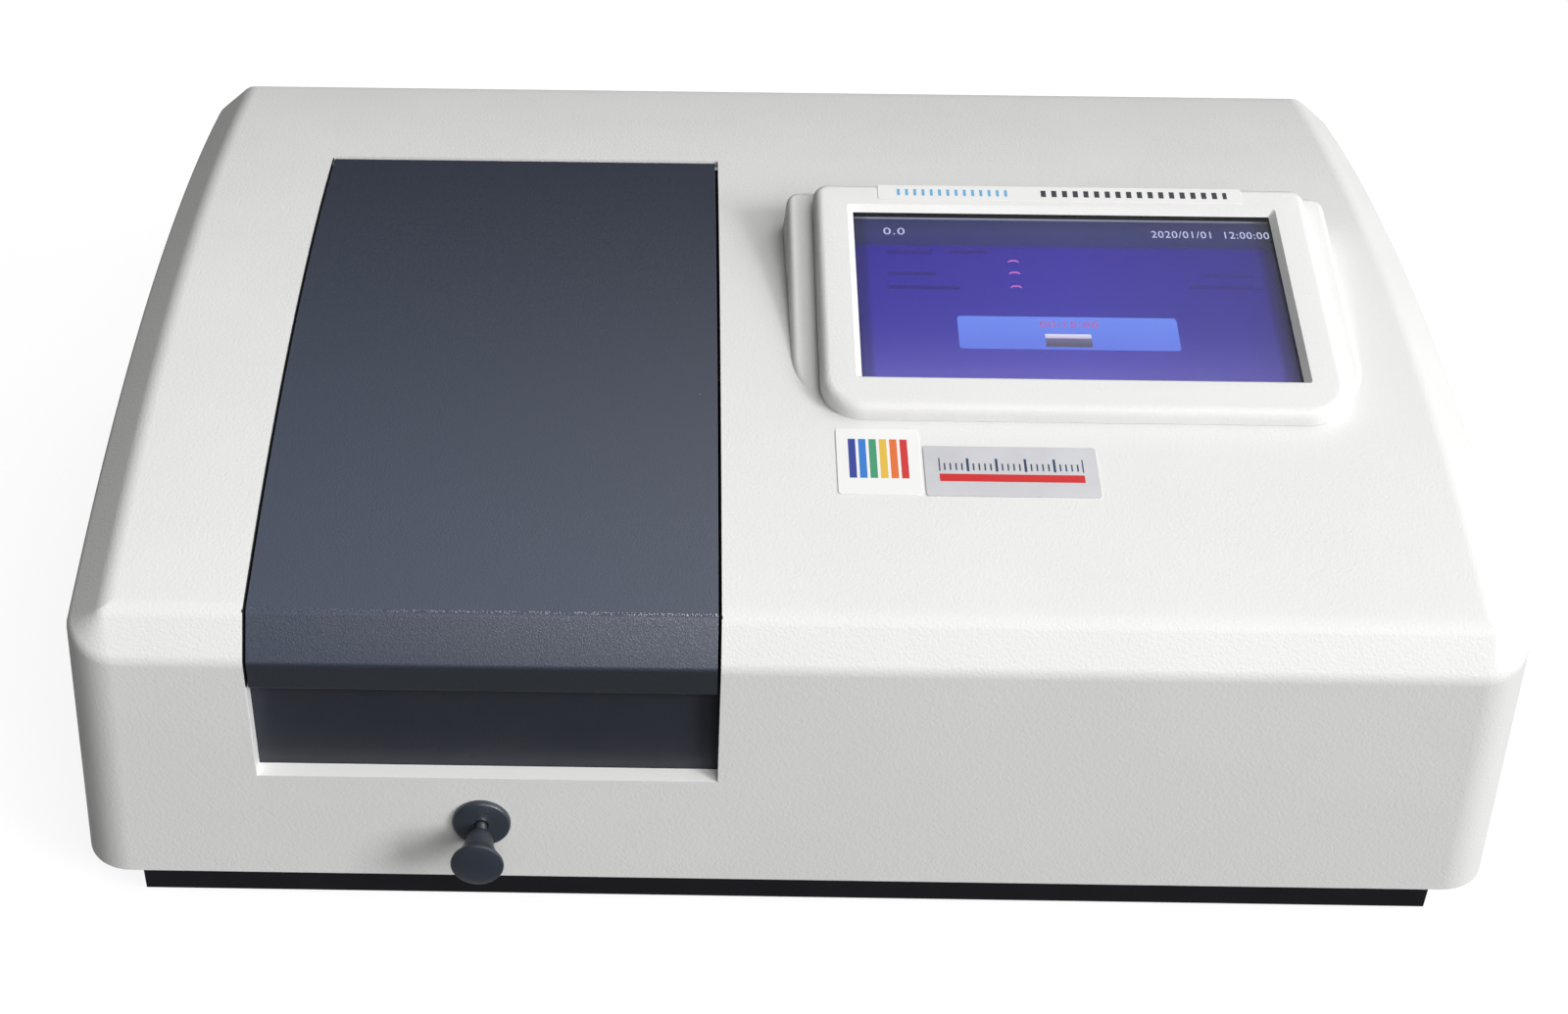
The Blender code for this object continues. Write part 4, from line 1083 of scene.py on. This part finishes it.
def painted_light_sill():
    """The sill under the compartment's dark panel and the narrow jamb to its left, as thin pieces paler than
    the cover: painted light on the cover's own ledge and jamb.
    """
    # Painted light: a paler white that makes the ledge and jamb look lit.
    painted_light = Surface("sill_painted_light", (0.96, 0.96, 0.95), 0.40).mottle(20, (0.95, 0.95, 0.935)).grain(1.3, 0.05)
    foot = OPEN_LOW - 0.5
    profile = [(0.4, foot), (0.4, OPEN_LOW + 0.05), (RETURN_DEPTH, OPEN_LOW + 0.8), (RETURN_DEPTH, foot)]
    finish(prism("painted_light_sill", "X", profile, OPEN_LEFT, OPEN_RIGHT), "cover_white", look=painted_light)
    side = (OPEN_LEFT - 0.2, OPEN_LEFT + 0.15)
    finish(box("painted_light_jamb", side, (0.5, RETURN_DEPTH), (OPEN_LOW, LID.z0 - 0.2)), "cover_white", look=painted_light)


def gap_shadow_strips():
    """Black strips on the walls of the gap beside the lid: a painted shadow in the gap."""
    outer = [(0.7, LID.z0), (0.7, FRONT_WALL_TOP), (END_BEVEL, CREASE_FRONT - 0.7)]
    outer += arch(16, OPEN_REAR, 0.7, 40)
    inner = arch(OPEN_REAR, 16, 7.0, 40) + [(7.0, FRONT_WALL_TOP - 4.0), (7.0, LID.z0)]
    # Painted shadow: black strips darken both walls of the gap.
    for name, wall, side in (("gap_shadow_left", OPEN_LEFT, 1), ("gap_shadow_right", OPEN_RIGHT, -1)):
        low, high = sorted((wall - 0.3 * side, wall + 0.35 * side))
        finish(prism(name, "X", outer + inner, low, high), "rubber")


def knob_and_plate():
    """The pull knob, its rod and the plate they pass through."""
    plate = [(3.0, -0.3), (12.5, -0.3), (12.5, -1.5), (12.3, -2.1)]
    plate += [(11.9, -2.55), (11.4, -2.8), (3.4, -2.8), (3.0, -2.5)]
    disc = turned("escutcheon_plate", "Y", PLATE, plate, 96, hollow=True)
    finish(disc, "lid_slate", "rod_escutcheon")
    stem = [(3.0, -8.0), (3.8, -8.1), (4.5, -8.6), (5.2, -9.8), (5.7, -11.5), (6.2, -14.0), (6.9, -17.0)]
    flare = [(7.8, -19.6), (8.9, -22.0), (9.9, -23.8), (10.8, -25.0), (11.1, -25.1), (11.25, -25.6)]
    head = [(11.2, -26.1), (10.9, -26.6), (9.8, -27.0), (7.0, -27.5), (3.5, -27.9), (0.6, -28.0)]
    knob = turned("knob_trumpet", "Y", KNOB, stem + flare + head, 96)
    cut(knob, cylinder("Y", KNOB, 2.8, (-16, 0), 32))
    finish(resmooth(knob), "lid_slate", "pull_knob", body="carriage")
    profile = [(1.9, ROD.y0), (2.5, ROD.y0 + 0.6), (2.5, ROD.y1 - 0.6), (1.9, ROD.y1)]
    finish(turned("rod_bar", "Y", ROD, profile, 48), "steel", "pull_rod", body="carriage")


# -------------------------------------------------------- underneath and behind


def turn(obj, angle, axis, point):
    """Turns a mesh about an axis through a point given in millimetres."""
    there = Matrix.Translation(world(point))
    obj.data.transform(there @ Matrix.Rotation(angle, 4, axis) @ there.inverted())
    return obj


def block(name, x, z, y, radius=0.0, steps=5):
    """A block that faces the rear, with round corners in its X-Z outline."""
    outline = [(x[0], z[0]), (x[1], z[0]), (x[1], z[1]), (x[0], z[1])]
    if radius:
        outline = rounded_outline(*x, *z, radius, radius, steps)
    return prism(name, "Y", outline, *y)


def screw_head(name, x, y, z, radius, slot="steel"):
    """A domed screw with a cross recess, its head standing out to the rear of y."""
    dome = [(0.2, 0.40), (0.45, 0.37), (0.7, 0.29), (0.88, 0.18), (1.0, 0.0), (1.0, -0.05), (0.2, -0.05)]
    screw = turned(name, "Y", (x, z), [(r * radius, y + h * radius) for r, h in dome], 32)
    arm, thin = 0.6 * radius, 0.13 * radius
    for half_x, half_z in ((arm, thin), (thin, arm)):
        cut(screw, block("recess", about(x, half_x), about(z, half_z), (y + 0.12 * radius, y + 5)))
    finish(resmooth(screw), slot)


def feet():
    """Four rubber feet, each hollowed for its screw."""
    for node in ("foot_front_left", "foot_front_right", "foot_rear_left", "foot_rear_right"):
        place = Extent(node)
        radius, high = place.half, place.z1
        profile = [(0.3, 3.0), (3.3, 3.0), (3.4, 0.6), (4.0, 0.0)]
        profile += [(radius - 3.4, 0.0), (radius - 2.4, 0.2), (radius - 1.7, 0.8), (radius - 1.3, 1.8)]
        flange = [(1.0, 2.9), (0.2, 2.5), (0.0, 2.0), (0.0, 0.9), (0.3, 0.3), (1.2, 0.0)]
        profile += [(radius - inset, high - drop) for inset, drop in flange] + [(0.3, high)]
        finish(turned(f"rubber_{node}", "Z", place, profile, 64), "rubber", node)


def rear_plate():
    """The steel rear panel with its cutouts, a pressed vent field and its screws."""
    place, fan = Extent("rear_panel"), Extent("fan_frame")
    through = (place.y0 - 4, place.y1 + 4)
    plate = block("rear_plate", place.across, place.tall, place.deep, 2.5)
    holes = [cylinder("Y", fan, 27, through, 72)]
    for node, half_x, half_z, radius in (
        ("power_inlet", 14.5, 10.5, 0.0),
        ("switch_frame", 9, 12.5, 0.0),
        ("usb_port", 8, 4.5, 0.8),
        ("serial_port", 10, 5.5, 0.8),
    ):
        at = Extent(node)
        holes.append(block("hole", about(at.x, half_x), about(at.z, half_z), through, radius))
    cut(plate, *holes)
    for i in range(9):
        cut(plate, block("vent", about(178 + 5 * i, 1.2), (84, 112), through, 1.15))
    finish(round_edges(resmooth(plate), 0.3, 2), "steel", "rear_panel")
    left, right = place.x0 + 10.0, place.x1 - 6.0
    low, high = within(place.tall, 12.0)
    for i, x in enumerate((left, place.x, right)):
        screw_head(f"panel_screw_low_{i}", x, place.y1, low, 2.8)
        screw_head(f"panel_screw_high_{i}", x, place.y1, high, 2.8)
    for i, (x, z) in enumerate(FAN_HOLES):
        screw_head(f"fan_screw_{i}", fan.x + x, place.y1, fan.z + z, 2.6, "black_plastic")


def fan_shell():
    """The fan's square frame, with the motor's seat on two crossed struts."""
    place = Extent("fan_frame")
    centre, past = (place.x, place.z), (place.y0 - 1, place.y1 + 1)
    shell = block("fan_shell", place.across, place.tall, place.deep, 3.5)
    cut(shell, cylinder("Y", centre, 28, past, 72))
    for x, z in FAN_HOLES:
        cut(shell, cylinder("Y", (place.x + x, place.z + z), 2.1, past))
    join(shell, turned("seat", "Y", centre, above(place.y0, [(11, 0), (12, 0.6), (12, 2.4)]), 48))
    reach = place.half + 2
    for angle in (45, 135):
        strut = block("strut", about(place.x, reach), about(place.z, 1.4), (place.y0 + 0.2, place.y0 + 2.0))
        join(shell, turn(strut, radians(angle), "Y", (place.x, 0, place.z)))
    finish(round_edges(resmooth(shell), 0.4, 2), "black_plastic", "fan_frame")


def fan_blade(centre, middle, start):
    """A twisted and cambered blade that leaves the hub at the angle start."""
    rings = []
    for k in range(6):
        radius = 11.5 + 3.0 * k
        pitch = radians(42 - 2.2 * k)
        ring = []
        for side in (-1, 1):
            for j in range(7):
                along = (j / 6 - 0.5) * side
                chord = 13.0 * along
                lift = 1.4 * (0.25 - along * along) + side * 0.42 * (1 - (2 * along) ** 2 * 0.6)
                across = chord * cos(pitch) - lift * sin(pitch)
                axial = chord * sin(pitch) + lift * cos(pitch)
                angle = start + 0.03 * k + across / radius
                x, z = radius * cos(angle), radius * sin(angle)
                ring.append((centre[0] + x, middle + axial, centre[1] + z))
        rings.append(ring)
    return loft("blade", rings)


def cooling_fan():
    """The fan's frame, its seven-bladed rotor and the wire guard over it."""
    fan_shell()
    place, rotor, guard = Extent("fan_frame"), Extent("fan_rotor"), Extent("fan_guard")
    centre = (place.x, place.z)
    low, high = within(rotor.deep, 0.2)
    hub = [(11.5, low), (12.4, low + 0.8), (12.5, low + 1.5)]
    hub += [(12.5, high - 1.4), (12.1, high - 0.5), (11.3, high), (0.3, high)]
    wheel = turned("fan_wheel", "Y", centre, hub, 64)
    for i in range(7):
        join(wheel, fan_blade(centre, (low + high) / 2, 2 * pi * i / 7))
    finish(resmooth(wheel), "black_plastic", "fan_rotor", body="fan")

    wire = 0.85
    wires = []
    for radius in (27.8, 21.2, 14.6, 8.0):
        wires.append(turned("fan_wires", "Y", centre, circle(wire, 12, (radius, guard.y)), 72, True))
    for angle in (45, 135):
        spoke = cylinder("X", (guard.y, place.z), wire, about(place.x, 29.5), 12)
        wires.append(turn(spoke, radians(angle), "Y", (place.x, 0, place.z)))
    finish(resmooth(join(*wires)), "steel", "fan_guard")


def mains_inlet():
    """The three-pin appliance inlet with its flange, shroud and screws."""
    place = Extent("power_inlet")
    x, z, face = place.x, place.z, place.y1
    body = block("inlet_body", place.across, place.tall, (face - 2.5, face), 5.0)
    join(body, block("shell", about(x, 14), about(z, 10), (place.y0, face - 1), 1.5))
    corners = ((-12, -8), (12, -8), (12, 3), (7, 8), (-7, 8), (-12, 3))
    cut(body, prism("socket", "Y", [(x + dx, z + dz) for dx, dz in corners], place.y0 + 5, face + 5))
    for dx, dz in ((-7, -1.5), (0, 2.5), (7, -1.5)):
        join(body, block("pin", about(x + dx, 1), about(z + dz, 2), (place.y0 + 4, face - 4), 0.4, 3))
    finish(round_edges(resmooth(body), 0.5, 2), "black_plastic", "power_inlet")
    for i, screw_x in enumerate(about(x, 19.5)):
        screw_head(f"inlet_screw_{i}", screw_x, face, z, 2.6)


def mains_switch():
    """The switch's surround; its rocker keeps its CAD shape with soft edges."""
    place = Extent("switch_frame")
    x, z, face = place.x, place.z, place.y1
    surround = block("switch_surround", place.across, place.tall, (face - 2, face), 1.6)
    join(surround, block("body", about(x, 8.5), about(z, 12), (place.y0, face - 1)))
    cut(surround, block("well", about(x, 6.8), about(z, 10.1), (place.y0 + 3, face + 5)))
    finish(round_edges(resmooth(surround), 0.5), "black_plastic", "switch_frame")
    round_edges(frame["nodes"]["switch_rocker"], 0.45, 3, 30)


def data_ports():
    """The square data port with its tongue, and the nine-pin port with its two posts."""
    usb = Extent("usb_port")
    port = block("usb_shell", usb.across, usb.tall, usb.deep, 1.0)
    behind = (usb.y0 + 3, usb.y1 + 3)
    cut(port, block("mouth", within(usb.across, 0.7), within(usb.tall, 0.7), behind, 0.6))
    tongue = (usb.z - 0.2, usb.z + 1.6)
    join(port, block("tongue", about(usb.x, 5), tongue, (usb.y0 + 2, usb.y1 - 1.5), 0.3, 3))
    finish(round_edges(resmooth(port), 0.2, 2), "steel", "usb_port")

    serial = Extent("serial_port")
    x, z = serial.x, serial.z

    def funnel(name, low_half, side, edge, soft, low, high):
        """A solid that is narrower below, side and edge inside the port's box."""
        (left, right), (foot, top) = within(serial.across, side), within(serial.tall, edge)
        corners = [(x - low_half, foot), (x + low_half, foot), (right, top), (left, top)]
        return prism(name, "Y", softened(corners, [soft] * 4), low, high)

    shell = funnel("serial_shell", 7.6, 0.0, 0.0, 1.8, *serial.deep)
    cut(shell, funnel("mouth", 6.9, 1.0, 0.8, 1.4, serial.y0 + 3, serial.y1 + 3))
    pin = [(0.5, serial.y0 + 2), (0.5, serial.y1 - 2.2), (0.2, serial.y1 - 1.7)]
    for count, dz in ((5, 1.4), (4, -1.4)):
        for i in range(count):
            join(shell, turned("pin", "Y", (x + 2.7 * (i - (count - 1) / 2), z + dz), pin, 12))
    finish(resmooth(shell), "steel", "serial_port")
    face = Extent("rear_panel").y1
    for i, post_x in enumerate(about(x, 12.5)):
        post = prism(f"serial_post_{i}", "Y", circle(2.6, 6, (post_x, z)), face, face + 2.6)
        cut(post, cylinder("Y", (post_x, z), 1.3, (face + 0.8, face + 5)))
        finish(round_edges(resmooth(post), 0.2, 2), "brass")


# ----------------------------------------------------------- inside the casing


def pins_and_bush():
    """The lid's two pins and the bush that the rod slides in."""
    chamfer = 0.3
    for node in ("lid_pin_left", "lid_pin_right"):
        place = Extent(node)
        pin = chamfered((place.z1 - place.z0) / 2, *place.across, chamfer)
        finish(turned(f"round_{node}", "X", place, pin, 32), "steel", node)
    place = Extent("rod_bush")
    inner = 2.8
    bush = chamfered(place.half, *place.deep, chamfer)[1:-1]
    bush += [(inner + chamfer, place.y1), (inner, place.y1 - chamfer)]
    bush += [(inner, place.y0 + chamfer), (inner + chamfer, place.y0)]
    finish(turned("bronze_bush", "Y", place, bush, 48, hollow=True), "brass", "rod_bush")


def threaded_screw():
    """The lead screw: a cut thread, and the coupling with two holes for clamp screws."""
    place = Extent("lead_screw")
    pitch, depth, steps, per_turn = 1.5, 0.45, 24, 6
    radius, start, end = 3.0, place.x0, place.x0 + 85.5
    rings = []
    for i in range(int((end - start) / pitch * per_turn) + 1):
        x = start + i * pitch / per_turn
        fade = min(1.0, (x - start) / pitch, (end - x) / pitch + 0.01)
        ring = []
        for j in range(steps):
            turn_share = j / steps
            height = abs(((x / pitch - turn_share) % 1.0) * 2 - 1)
            reach = radius - 0.05 - depth * fade * height
            angle = 2 * pi * turn_share
            ring.append((x, place.y + reach * cos(angle), place.z + reach * sin(angle)))
        rings.append(ring)
    finish(loft("threaded_rod", rings, smooth_angle=50), "steel", body="screw")
    low = end + 0.5
    halves = [(0.3, 0), (6.4, 0), (7, 0.6), (7, 8), (6.5, 8.4), (6.5, 11.4)]
    halves += [(7, 11.8), (7, 19.2), (6.4, 19.8), (2.5, 19.8)]
    coupling = above(low, halves) + [(2.5, place.x1), (0.3, place.x1)]
    hub = turned("shaft_coupling", "X", place, coupling, 64)
    for x in (low + 4, low + 15.5):
        cut(hub, cylinder("Z", (x, place.y), 1.3, (place.z + 4, place.z + 9)))
    finish(resmooth(hub), "steel", "lead_screw", body="screw")


def motors():
    """The stepper motor in three layers, and the two round motors."""
    place = Extent("stepper_motor")
    end = 6
    for i, (low, high, inset, slot, nodes) in enumerate((
        (place.x0, place.x0 + end, 0.0, "aluminium", ()),
        (place.x0 + end, place.x1 - end, 0.8, "black_plastic", ("stepper_motor",)),
        (place.x1 - end, place.x1, 0.0, "aluminium", ()),
    )):
        outline = rounded_outline(*within(place.deep, inset), *within(place.tall, inset), 3.0, 3.0, 5)
        layer = prism(f"stepper_layer_{i}", "X", outline, low, high)
        finish(round_edges(layer, 0.4, 2), slot, *nodes)
    spin, mirror = Extent("filter_motor"), Extent("source_motor")
    for node, axis, place, (low, high) in (
        ("filter_motor", "Y", spin, spin.deep),
        ("source_motor", "Z", mirror, mirror.tall),
    ):
        radius = place.half
        can = [(0.2, low), (radius - 1.2, low), (radius - 0.3, low + 0.4), (radius, low + 1.3)]
        can += [(radius, high - 1.3), (radius - 0.3, high - 0.4), (radius - 1.2, high)]
        can += [(3.0, high), (0.2, high)]
        finish(turned(f"{node}_can", axis, place, can, 64), "steel", node)


def filters():
    """The filter wheel and a thin coloured glass in each of its six holes."""
    place = Extent("filter_wheel")
    rim = chamfered(place.half, *place.deep, 0.4)
    wheel = turned("filter_disc", "Y", place, rim, 96)
    pane = chamfered(4.4, *within(place.deep, 0.8), 0.3)
    for i, tint in enumerate(FILTER_TINTS):
        angle = radians(60 * i - 90)
        centre = (place.x + 15 * cos(angle), place.z + 15 * sin(angle))
        cut(wheel, cylinder("Y", centre, 4.5, (place.y0 - 1, place.y1 + 1), 42))
        glass = Surface(f"filter_tint_{i}", tint, 0.03).uneven_gloss(6, 0.01)
        glass.set("Transmission Weight", 1.0).set("IOR", 1.5)
        disc = turned(f"filter_glass_{i}", "Y", centre, pane, 36)
        finish(disc, "lamp_glass", body="filters", look=glass)
    finish(resmooth(wheel), "black_anodised", "filter_wheel", body="filters")


def lamps():
    """The deuterium and the tungsten lamp: glass envelopes on their bases."""
    place = Extent("deuterium_lamp")
    base = [(0.2, 0), (16.4, 0), (17, 0.6), (17, 7), (16.4, 7.7), (9.4, 7.7), (9, 8.2), (9, 13), (0.2, 13)]
    finish(turned("deuterium_base", "Z", place, above(place.z0, base), 72), "aluminium")
    bulb = [(0.3, 13.3), (8.5, 13.3), (10, 14.5), (12.6, 17.5), (13.8, 21), (14, 24), (14, 56), (13.2, 60)]
    bulb += [(11, 63.2), (8, 65), (4, 66.2), (2.3, 68), (1.8, 71), (1.0, 73.4), (0.2, 73.7)]
    envelope = turned("deuterium_envelope", "Z", place, above(place.z0, bulb), 72)
    finish(envelope, "lamp_glass", "deuterium_lamp")
    place = Extent("tungsten_lamp")
    base = [(0.2, 0), (9.5, 0), (10, 0.5), (10, 15), (9.5, 15.6), (4.2, 15.6), (0.2, 15.6)]
    ceramic = Surface("white_ceramic", (0.80, 0.79, 0.76), 0.6).mottle(4, (0.76, 0.75, 0.71))
    ceramic.grain(0.6, 0.03)
    finish(turned("tungsten_base", "Z", place, above(place.z0, base), 64), "label_white", look=ceramic)
    bulb = [(0.2, 15.9), (3.6, 15.9), (3.8, 17.5), (5.2, 19.5), (5.5, 21.5), (5.5, 37), (5.0, 40)]
    bulb += [(3.6, 42.4), (1.8, 43.8), (1.0, 45), (0.2, 45.7)]
    capsule = turned("tungsten_capsule", "Z", place, above(place.z0, bulb), 64)
    finish(capsule, "lamp_glass", "tungsten_lamp")


def circuit_board():
    """The main board with its chips, sockets, capacitors and pillars."""
    place = Extent("main_board")
    level, thick = 20.0, 1.6
    outline = rounded_outline(*place.across, *place.deep, 2.5, 2.5, 4)
    board = prism("board_sheet", "Z", outline, level, level + thick)
    finish(round_edges(board, 0.15, 1), "board_green", "main_board")
    face = level + thick + 0.02
    leg_pitch = 2.5
    chips = ((175, 200, 75, 100, 2.4), (210, 240, 80, 110, 3.4), (215, 235, 165, 185, 2.4))
    for i, (left, right, front, rear, high) in enumerate((*chips, (178, 190, 112, 122, 1.6))):
        body = box(f"chip_{i}", (left, right), (front, rear), (face + 0.4, face + high))
        finish(round_edges(body, 0.3, 2), "black_plastic")
        legs = []
        for k in range(int((rear - front) / leg_pitch)):
            span = about(front + leg_pitch * (k + 0.5), 0.4)
            legs.append(box(f"chip_legs_{i}", (left - 1.6, right + 1.6), span, (face, face + 0.7)))
        finish(join(*legs), "steel")
    sockets = ((180, 250, 130, 136, 8.5), (170, 180, 215, 270, 8.5), (240, 255, 230, 270, 10))
    for i, (left, right, front, rear, high) in enumerate(sockets):
        shroud = box(f"board_socket_{i}", (left, right), (front, rear), (face, face + high))
        cut(shroud, box("mouth", (left + 1, right - 1), (front + 1, rear - 1), (face + 2, face + high + 1)))
        finish(round_edges(shroud, 0.2, 2), "label_white")
    capacitors = ((182, 175, 6, 14), (191, 166, 4, 10), (215, 235, 9, 16), (222, 212, 4, 9))
    for i, (x, y, radius, high) in enumerate(capacitors):
        can = [(0.2, 0), (radius - 0.4, 0), (radius, 0.6), (radius, 1.6), (radius - 0.4, 2.2)]
        can += [(radius, 2.8), (radius, high - 0.8), (radius - 0.6, high), (0.2, high)]
        finish(turned(f"capacitor_{i}", "Z", (x, y), above(face, can), 40), "aluminium")
    for i, corner in enumerate(((172, 67), (255, 67), (172, 278), (255, 278))):
        pillar = prism(f"board_pillar_{i}", "Z", circle(3, 6, corner), place.z0, level - 0.05)
        finish(round_edges(pillar, 0.3, 2), "brass")


def ruled_grating():
    """The grating keeps its CAD shape under a bright metal coating, with pale spectral colours painted on as
    a painted reflection of the light it splits.
    """
    surface = Surface("ruled_grating", (0.86, 0.86, 0.88), 0.12, 1.0)
    across, _, _ = surface.axes()
    # Painted reflection: rainbow colours across the grating.
    spectrum = [(0.0, (0.55, 0.45, 0.80)), (0.3, (0.45, 0.75, 0.85)), (0.55, (0.55, 0.85, 0.55))]
    spectrum += [(0.78, (0.9, 0.8, 0.45)), (1.0, (0.85, 0.45, 0.4))]
    surface.set("Base Color", surface.colour_steps(across, spectrum))
    surface.grain(0.2, 0.004, 1.0, (1.0, 1.0, 0.02))
    node = frame["nodes"]["diffraction_grating"]
    node.data.materials.clear()
    node.data.materials.append(surface.material)
    round_edges(node, 0.3, 2)


def cover_screws():
    """Screws that hold down the monochromator's cover and the carriage rails."""
    place = Extent("monochromator_cover")
    front, rear = within(place.deep, 7)
    spots = [(x, y, place.z1) for x in within(place.across, 7) for y in (front, place.y, rear)]
    for node in ("carriage_rail_left", "carriage_rail_right"):
        rail = Extent(node)
        spots += [(rail.x, y, rail.z1 - 0.9) for y in within(rail.deep, 8)]
    dome = [(0.2, 0.9), (1.2, 0.85), (2.0, 0.5), (2.3, 0), (2.3, -0.2), (0.2, -0.2)]
    for i, (x, y, z) in enumerate(spots):
        head = turned(f"socket_screw_{i}", "Z", (x, y), above(z, dome), 32)
        cut(head, prism("recess", "Z", circle(1.0, 6, (x, y)), z + 0.3, z + 3))
        finish(resmooth(head), "steel")


# ----------------------------------------------------------- the CAD's own nodes


SOFT_EDGE, BROAD_EDGE = 0.3, 0.8
BROAD_EDGED = ("base_tray", "compartment_tub", "power_supply", "lamp_house")


def carry_over():
    """Gives each CAD node that still shows its procedural material and soft edges."""
    for subpart in frame["record"]["subparts"]:
        node = frame["nodes"][subpart["node"]]
        if node.hide_render or subpart["node"] == "diffraction_grating":
            continue
        slot = subpart["material_slot"]
        node.data.materials.clear()
        node.data.materials.append(MATERIALS[slot])
        if not node.modifiers:
            round_edges(node, BROAD_EDGE if subpart["node"] in BROAD_EDGED else SOFT_EDGE, 2)


# ------------------------------------------------------------------ the studio


def studio():
    """White floor, broad glows in the air and two lights."""
    builder = bmesh.new()
    bmesh.ops.create_grid(builder, x_segments=4, y_segments=4, size=6.0)
    floor = new_piece("floor", builder)
    floor.location.z = cad_low.z - 0.0005
    surface = Surface("pale_floor", (0.22, 0.22, 0.22), 0.95).mottle(900, (0.215, 0.215, 0.215))
    surface.lit((1.0, 1.0, 1.0), 0.86)
    floor.data.materials.append(surface.material)
    floor.visible_diffuse = False
    floor.visible_glossy = False
    floor.visible_transmission = False

    studio_air = bpy.data.worlds.new("studio_air")
    bpy.context.scene.world = studio_air
    studio_air.use_nodes = True
    tree = studio_air.node_tree
    place = add_node(tree, "ShaderNodeTexCoord", "Generated", {})
    total = None
    for direction, sharpness, strength in GLOWS:
        inputs = {0: place, 1: Vector(direction).normalized()}
        glow = add_node(tree, "ShaderNodeVectorMath", "Value", inputs, operation="DOT_PRODUCT")
        for operation, value in (("MAXIMUM", 0.0), ("POWER", sharpness), ("MULTIPLY", strength)):
            glow = add_node(tree, "ShaderNodeMath", "Value", {0: glow, 1: value}, operation=operation)
        if total:
            glow = add_node(tree, "ShaderNodeMath", "Value", {0: total, 1: glow}, operation="ADD")
        total = glow
    white = (1.0, 1.0, 1.0)
    lighting = tree.nodes["Background"]
    feed(tree, lighting.inputs["Color"], white)
    feed(tree, lighting.inputs["Strength"], total)
    backdrop = add_node(tree, "ShaderNodeBackground", "Background", {"Color": white})
    seen = add_node(tree, "ShaderNodeLightPath", "Is Camera Ray", {})
    inputs = {"Fac": seen, 1: lighting.outputs["Background"], 2: backdrop}
    chosen = add_node(tree, "ShaderNodeMixShader", "Shader", inputs)
    feed(tree, tree.nodes["World Output"].inputs["Surface"], chosen)

    for name, place, size, watts in LIGHTS:
        light = bpy.data.lights.new(name, "AREA")
        light.size = size
        light.energy = watts
        lamp = bpy.data.objects.new(name, light)
        lamp.location = place
        aim = Vector((0.0, 0.0, 0.1)) - Vector(place)
        lamp.rotation_euler = aim.to_track_quat("-Z", "Y").to_euler()
        bpy.context.scene.collection.objects.link(lamp)
    bpy.context.scene.view_settings.view_transform = "Standard"


def camera():
    """Looks down over the front edge from a little left of the middle."""
    place = (-0.05181, -0.895, 0.73966)
    pitch, yaw, roll = (radians(a) for a in (36.159, -0.615, 0.418))
    forward = Vector((sin(yaw) * cos(pitch), cos(yaw) * cos(pitch), -sin(pitch)))
    level = Vector((cos(yaw), -sin(yaw), 0.0))
    up = level.cross(forward)
    right = level * cos(roll) + up * sin(roll)
    upright = up * cos(roll) - level * sin(roll)
    data = bpy.data.cameras.new("camera")
    data.sensor_width = 36
    data.lens = 51.784
    data.shift_x = 0.0843
    data.shift_y = -0.0128
    viewer = bpy.data.objects.new("camera", data)
    turned_to = Matrix((right, upright, -forward)).transposed().to_4x4()
    viewer.matrix_world = Matrix.Translation(place) @ turned_to
    bpy.context.scene.collection.objects.link(viewer)
    bpy.context.scene.camera = viewer


def main():
    camera()
    studio()
    cover_shell()
    bezel()
    lid_shell()
    painted_light_sill()
    gap_shadow_strips()
    knob_and_plate()
    screen()
    spectrum_badge()
    scale_badge()
    bezel_scale()
    feet()
    rear_plate()
    cooling_fan()
    mains_inlet()
    mains_switch()
    data_ports()
    pins_and_bush()
    threaded_screw()
    motors()
    filters()
    lamps()
    circuit_board()
    ruled_grating()
    cover_screws()
    carry_over()


main()
